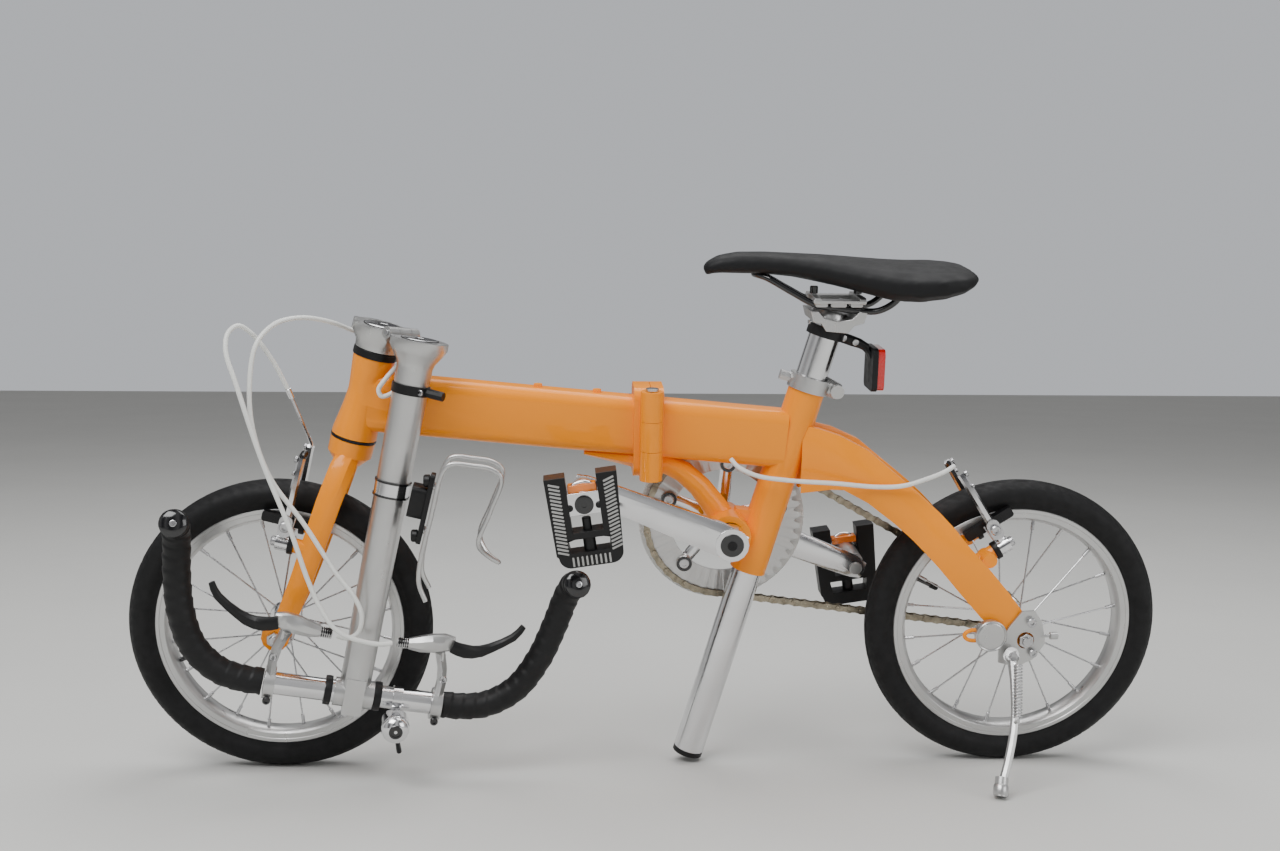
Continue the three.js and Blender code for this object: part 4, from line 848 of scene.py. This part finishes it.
def soft_saddle():
    """The CAD saddle, remeshed and eased so that its edges round over."""
    mesh = NODES["saddle"].data.copy()
    obj = bpy.data.objects.new("saddle_pad", mesh)
    bpy.context.scene.collection.objects.link(obj)
    remesh = obj.modifiers.new("remesh", "REMESH")
    remesh.mode, remesh.voxel_size = "VOXEL", 0.0026
    ease = obj.modifiers.new("ease", "SMOOTH")
    ease.factor, ease.iterations = 0.5, 5
    baked = bpy.data.meshes.new_from_object(obj.evaluated_get(bpy.context.evaluated_depsgraph_get()))
    obj.modifiers.clear()
    obj.data = baked
    obj.data.materials.clear()
    top = max(vert.co.z for vert in baked.vertices)
    for vert in baked.vertices:
        vert.co.z = top - (top - vert.co.z) * SADDLE_DEPTH
    finish_piece(obj, "saddle_cover", 75)
    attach(obj, "saddle_unit")
    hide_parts("saddle")


soft_saddle()

CRADLE = [
    (-243, 515), (-240, 504), (-231, 502), (-226, 494), (-203, 492), (-196, 500), (-186, 503), (-183, 514),
    (-191, 515), (-199, 507), (-214, 504.5), (-229, 508), (-235, 515),
]
cradle = slab([(x, z) for x, z in CRADLE], (0, 0, 0), X, Z, 54)
head = lathe([(0.01, 76), (17.6, 76), (19, 78), (19, 84), (16, 90), (0.01, 90)], (0, 0, 0), Z, 40)
plates = []
for side in SIDES.values():
    for x, width in ((-232, 13), (-214, 17), (-195, 13)):
        plates.append(slab(rounded(width, 6.5, 2), (x, side * 22, 523), X, Z, 13))
    plates.append(slab(rounded(56, 3.4, 1.4), (-213, side * 22, 525.4), X, Z, 17))
bevelled(
    piece("saddle_cradle", join(cradle, *plates), "satin_alloy", "saddle_unit", replaces=("saddle_clamp",)),
    0.7,
)
piece("seatpost_head", head, "satin_alloy", "saddle_unit", at=SEAT)
bridge = slab(rounded(60, 8, 3), (0, 0, 0), Y, Z, 7)
for name, x in (("front", -236), ("rear", -189)):
    at = BIKE @ Matrix.Translation((x, 0, 526))
    bevelled(piece(f"cradle_bridge_{name}", bridge, "satin_alloy", "saddle_unit", at=at), 0.7)
    piece(
        f"cradle_bolt_{name}", join(rod((0, 0, -26), (0, 0, 8), 2.8, 18), button((0, 0, -24), -Z, 5.2, 4)),
        "steel", "saddle_unit", at=at,
    )
    piece(
        f"cradle_cap_{name}",
        lathe([(0.01, 13), (3.6, 13), (4.4, 12), (4.4, 5), (0.01, 5)], (0, 0, 0), Z, 20), "gloss_black",
        "saddle_unit", at=at,
    )
housing = slab(rounded(44, 47, 6), (-170.5, 0, 451.5), Y, Z, 6)
bevelled(piece("reflector_housing", housing, "black_plastic", "saddle_unit"), 0.7)

# ------------------------------------------------------------------ cables
CABLE_RADIUS = 2.5
FRONT_CABLE = [
    (-678, -84, 173), (-690, -90, 174), (-720, -96, 184), (-735, -97, 195), (-748, -96, 216),
    (-760, -94, 245), (-776, -93, 298), (-802, -89, 368), (-826, -79, 443), (-838, -67, 477),
    (-837, -57, 493), (-829, -47, 499), (-818, -38, 490), (-800, -30, 462), (-784, -22, 424),
    (-775, -12, 394), (-771, 6, 372),
]
REAR_CABLE_FRONT = [
    (-734, -84, 181), (-723, -85, 179), (-712, -85, 185), (-708, -85, 205), (-716, -84, 225),
    (-732, -83, 247), (-765, -81, 302), (-797, -77, 348), (-814, -70, 398), (-817, -61, 443),
    (-811, -49, 481), (-795, -34, 499), (-773, -16, 503), (-747, 12, 495), (-727, 34, 483), (-700, 40, 472),
    (-680, 30, 464), (-670, 10, 458), (-674, -12, 453), (-685, -25, 441), (-692, -29, 430),
    (-689, -29.5, 423.5), (-681, -27, 425), (-673.5, -23.2, 430),
]
REAR_CABLE = [
    (-322, -24.5, 356), (-315, -30, 349), (-295, -34, 340), (-262, -38, 336), (-238, -41, 335),
    (-212, -43, 334), (-166, -46.5, 331), (-140, -49, 333), (-118, -50, 340), (-97, -46, 347),
    (-84, -38, 352),
]


def cable(name, route, node, body, bends=None):
    obj = piece(
        name, tube(route, CABLE_RADIUS, 16, 7), "cable_housing", body, angle=60, replaces=(node,),
        ride=not bends,
    )
    if bends:
        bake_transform(obj)
    return obj


cable("front_cable_housing", FRONT_CABLE[:15], "front_brake_cable", "handlepost", bends=(7, 13))
piece("front_cable_end", tube(FRONT_CABLE[14:], 1.7, 14, 8), "steel", "fork", angle=60)
housing_end = Vector(FRONT_CABLE[14])
onward = (Vector(FRONT_CABLE[15]) - housing_end).normalized()
ferrule = rod(housing_end - onward * 7, housing_end + onward * 5, 3.1, 18)
piece("front_ferrule", ferrule, "polished_alloy", "fork")
cable("rear_cable_housing_front", REAR_CABLE_FRONT, "rear_brake_cable_front", "handlepost", bends=(7, 14))
cable("rear_cable_housing", REAR_CABLE, "rear_brake_cable", "rear_half")

# ------------------------------------------------------------------ bottle cage
CAGE_SIDE = [
    (-641, 22, 223), (-648, 19, 245), (-633, 17, 318), (-623, 16, 356), (-615, 16, 366), (-594, 16, 365),
    (-573, 16, 361), (-563, 16, 352), (-574, 16, 318), (-587, 16, 283),
]
CAGE_Y = -76
CAGE_TIP = [(-578, CAGE_Y - 4, 266), (-567, CAGE_Y, 258), (-578, CAGE_Y + 4, 266)]
wire = [(x, CAGE_Y - half, z) for x, half, z in CAGE_SIDE] + CAGE_TIP
wire += [(x, CAGE_Y + half, z) for x, half, z in reversed(CAGE_SIDE)]
piece("cage_wire", tube(wire, 2.5, 14, 8), "satin_alloy", "handlepost", angle=60, replaces=("bottle_cage",))
CAGE_LEAN = Vector((17, 0, 72)).normalized()
CARRIER = Vector((-641, CAGE_Y, 316))
carrier = slab(rounded(17, 76, 5), CARRIER, Y, CAGE_LEAN, 5)
neck = slab(rounded(24, 34, 6), (-650, -68, 322), Y, CAGE_LEAN, 16)
lugs = [button(CARRIER + CAGE_LEAN * reach - X * 2, -X, 6.5, 7) for reach in (-30, 30)]
bevelled(piece("cage_carrier", join(carrier, neck, *lugs), "black_plastic", "handlepost"), 0.8)
cage_bolts = [button(CARRIER + CAGE_LEAN * reach + X * 2.5, X, 4.2, 3) for reach in (-24, 24)]
piece("cage_bolts", join(*cage_bolts), "steel", "handlepost")
BAND = 158
piece(
    "cage_band",
    lathe([(17.5, BAND - 7), (18.5, BAND - 7), (18.5, BAND + 7), (17.5, BAND + 7)], (0, 0, 0), Z, 48),
    "polished_alloy", "handlepost", at=POST,
)
edges = [
    lathe([(17.5, h - 1.2), (19.3, h - 1), (19.3, h + 1), (17.5, h + 1.2)], (0, 0, 0), Z, 48)
    for h in (BAND - 7.5, BAND + 7.5)
]
piece("cage_band_edges", join(*edges), "gloss_black", "handlepost", at=POST)

# ------------------------------------------------------------------ kickstand
def helix(a, b, radius, wire, turns):
    a, b = Vector(a), Vector(b)
    ahead = (b - a).normalized()
    u, v = across(ahead)
    steps = turns * 14
    points = []
    for i in range(steps + 1):
        turn = 2 * math.pi * turns * i / steps
        points.append(a.lerp(b, i / steps) + (u * math.cos(turn) + v * math.sin(turn)) * radius)
    return tube(points, wire, 8, 1)


kick = (KICK_FOOT - KICK_PIVOT).normalized()
spring_side = kick.cross(X).normalized()
spring_from = KICK_PIVOT + kick * 12 + X * 5 + spring_side * 10.5
spring_to = KICK_PIVOT + kick * 70 + X * 9 + spring_side * 10.5
piece(
    "kickstand_coil", helix(spring_from, spring_to, 3.9, 1.05, 17), "steel", "kickstand", angle=60,
    replaces=("kickstand_spring",),
)
piece(
    "bracket_bolts",
    join(
        button((4, -64, 185), -Y, 5, 3.2), button((8, -64, 150), -Y, 4.5, 3),
        hexagon(KICK_PIVOT - Y * 4, -Y, 5.2, 4),
    ),
    "steel", "rear_half",
)
piece(
    "sensor_disc",
    lathe(
        [(0.01, 1.2), (14, 1.2), (15, 0.5), (16.2, 1.4), (17.2, 0.6), (17.2, -1), (0.01, -1)],
        (-39.7, -67, 170.4), -Y, 56,
    ),
    "satin_alloy", "rear_half",
)
loop_wire = [
    (-57 + 10 * math.cos(math.tau * i / 12), -60, 169 + 6 * math.sin(math.tau * i / 12)) for i in range(13)
]
piece("lock_loop", tube(loop_wire, 2.2, 10, 4), "paint", "rear_half", angle=60)
piece(
    "foot_cap",
    lathe([(0.01, 0), (7.4, 0), (8, 1), (8, 10), (7.4, 11), (0.01, 11)], KICK_FOOT - kick * 12, kick, 28),
    "satin_alloy", "kickstand",
)

# ------------------------------------------------------------------ pedals
TREAD_FACE = 134
RIB_SLANT = 0.35
for name, side in SIDES.items():
    at = pedal_frame(side)
    out = Y * side
    plate = slab(rounded(38, 23, 3), out * 128.8 + Z * 1, X, Z, 3.4)
    bevelled(piece(f"{name}_pedal_plate", plate, "polished_alloy", f"{name}_pedal", at=at), 0.5)
    piece(f"{name}_pedal_cap", button(out * 130.3, out, 9.6, 2.0, 0.3), "gloss_black", f"{name}_pedal", at=at)
    studs = [
        lathe([(0.01, 0), (3.4, 0), (3.4, 4), (2.2, 5), (0.01, 5)], out * 127.4 + X * x - Z * 2, out, 20)
        for x in (-14.6, 14.6)
    ]
    piece(f"{name}_pedal_studs", join(*studs), "black_plastic", f"{name}_pedal", at=at)
    arch = [
        out * 122 + X * 13 * math.cos(a) + Z * (12 + 9 * math.sin(a))
        for a in (0, 0.6, 1.2, math.pi / 2, 1.94, 2.54, math.pi)
    ]
    piece(f"{name}_pedal_arch", tube(arch, 2.2, 14, 5), "polished_alloy", f"{name}_pedal", at=at, angle=60)
    lens = slab(rounded(29, 8, 1.5), out * 120 + Z * 15.5, X, Z, 12)
    bevelled(piece(f"{name}_pedal_lens", lens, "amber_lens", f"{name}_pedal", at=at), 0.5)
    column = [
        rod(out * 124 - Z * 27, out * 124 - Z * 52, 6.4, 28),
        rod(out * 124 - Z * 14.5, out * 124 - Z * 28, 4.6, 24),
    ]
    braces = [rod(out * 124 + X * s * 5 - Z * 31, out * 124 + X * s * 24 - Z * 36, 3.2, 16) for s in (-1, 1)]
    piece(f"{name}_pedal_column", join(*column, *braces), "black_plastic", f"{name}_pedal_platform", at=at)
    ribs = []
    face = out * (TREAD_FACE + 0.5)
    for s in (-1, 1):
        along, over = X + Z * s * RIB_SLANT, Z - X * s * RIB_SLANT
        for k in range(19):
            place = face + X * s * 27.2 + Z * (24 - k * 3.9)
            ribs.append(slab(rounded(11.5, 1.9, 0.5, 2), place, along, over, 1.4))
    for k in range(-4, 5):
        ribs.append(slab(rounded(1.9, 9.5, 0.5, 2), face + X * k * 4.6 - Z * 56.5, X, Z, 1.4))
    piece(f"{name}_pedal_tread", join(*ribs), "tread_grey", f"{name}_pedal_platform", at=at)

# ------------------------------------------------------------------ brakes
BRAKES = {
    "front": (
        Vector((-795, 0, 267)), Vector((0.24, 0, 0.97)).normalized(), Vector((-0.97, 0, 0.24)).normalized(),
        20,
    ),
    "rear": (
        Vector((-24, 0, 262.5)), Vector((-0.54, 0, 0.842)).normalized(),
        Vector((0.842, 0, 0.54)).normalized(), 23.5,
    ),
}
PAD_REACH = 18.5
for end, (foot, up, out, pad_rise) in BRAKES.items():
    for name, side in SIDES.items():
        arm = f"{end}_{name}_brake_arm"

        def at_arm(y, rise, forward):
            return foot + Y * side * y + up * rise + out * forward

        black = [
            lathe(
                [(4.6, -12), (9.6, -12), (10.2, -11), (10.2, -6.4), (9.4, -5.8), (4.6, -5.8)],
                at_arm(36, 0, 0), out, 28,
            )
        ]
        pad = slab(rounded(58, 11, 3), at_arm(PAD_REACH, pad_rise, 0), out, up, 9)
        sole = [
            slab(rounded(1.2, 11.6, 0.5, 2), at_arm(PAD_REACH, pad_rise, reach), out, up, 9.6)
            for reach in (-16, 0, 16)
        ]
        piece(f"{arm}_rubber", join(*black, pad, *sole), "black_plastic", arm)
        bolts = [
            button(at_arm(36, 0, 7), out, 5.4, 5.5), button(at_arm(28, 90, 4.5), out, 3.6, 3.2),
            button(at_arm(33, 76, 4), out, 2.6, 2.4),
        ]
        washer = slab(rounded(14, 24, 6.5), at_arm(42.5, pad_rise, 0.7), out, up, 2.2)
        bolts += [
            washer, button(at_arm(43.5, pad_rise, 0.7), Y * side, 5.6, 4.2),
            rod(at_arm(36, 8, -5), at_arm(36, 30, -7.5), 1.1, 10),
        ]
        piece(f"{arm}_bolts", join(*bolts), "steel", arm)
top = {end: foot + up * 92 + out * 0.7 for end, (foot, up, out, _) in BRAKES.items()}
noodle = [(-771, 6, 372), (-769.5, 13, 362), (-770.5, 20, 357.5), (-772, 26, 356.3)]
piece("front_noodle", tube(noodle, 2.0, 14, 7), "polished_alloy", "front_right_brake_arm", angle=60)
boot = [(4.2 if k % 2 else 3.2, 2 + 1.8 * k) for k in range(9)]
boot = [(0.01, 0), (2.6, 0)] + boot + [(2.4, 20), (0.01, 20)]
piece("front_boot", lathe(boot, top["front"] + Y * -24, Y, 24), "gloss_black", "front_left_brake_arm")
piece("rear_boot", lathe(boot, top["rear"] + Y * 4, Y, 24), "gloss_black", "rear_right_brake_arm")

# ------------------------------------------------------------------ post hinge faces, bands and small screws
OVAL = Matrix.Rotation(HINGE_ANGLE, 4, "Z") @ Matrix.Diagonal((1.0, 0.72, 1.0, 1.0))
plate = [(0.01, 0.4), (6.4, 0.4), (7, 0.8), (20, 0.8), (21.5, 0.1), (21.5, -0.6), (0.01, -0.6)]
groove = [(21.4, 0.3), (22.6, 0.3), (22.6, -0.6), (21.4, -0.6)]
for name, place, body, up in (("base", STEER, "fork", Z), ("post", POST, "handlepost", -Z)):
    piece(f"{name}_lock_plate", lathe(plate, up * 0.2, up, 56), "polished_alloy", body, at=place @ OVAL)
    piece(
        f"{name}_lock_line",
        join(
            lathe(groove, up * 0.2, up, 56),
            lathe([(0.01, 0.6), (6.2, 0.6), (6.2, 0), (0.01, 0)], up * 0.2, up, 32),
        ),
        "black_plastic", body, at=place @ OVAL,
    )
bracket_out = Vector((-0.5, 0.87, 0)).normalized()
piece(
    "bracket_screw",
    button(bracket_out * 20 + Z * 52 + Vector((-8, -8, 0)), Vector((-0.7, -0.7, 0)), 3.2, 2.2), "steel",
    "handlepost", at=POST,
)
piece(
    "reflector_screws",
    join(button((-203, -6.2, 484), -Y, 3.4, 1.6), button((-190, -6.2, 479.5), -Y, 3.4, 1.6)), "steel",
    "saddle_unit",
)
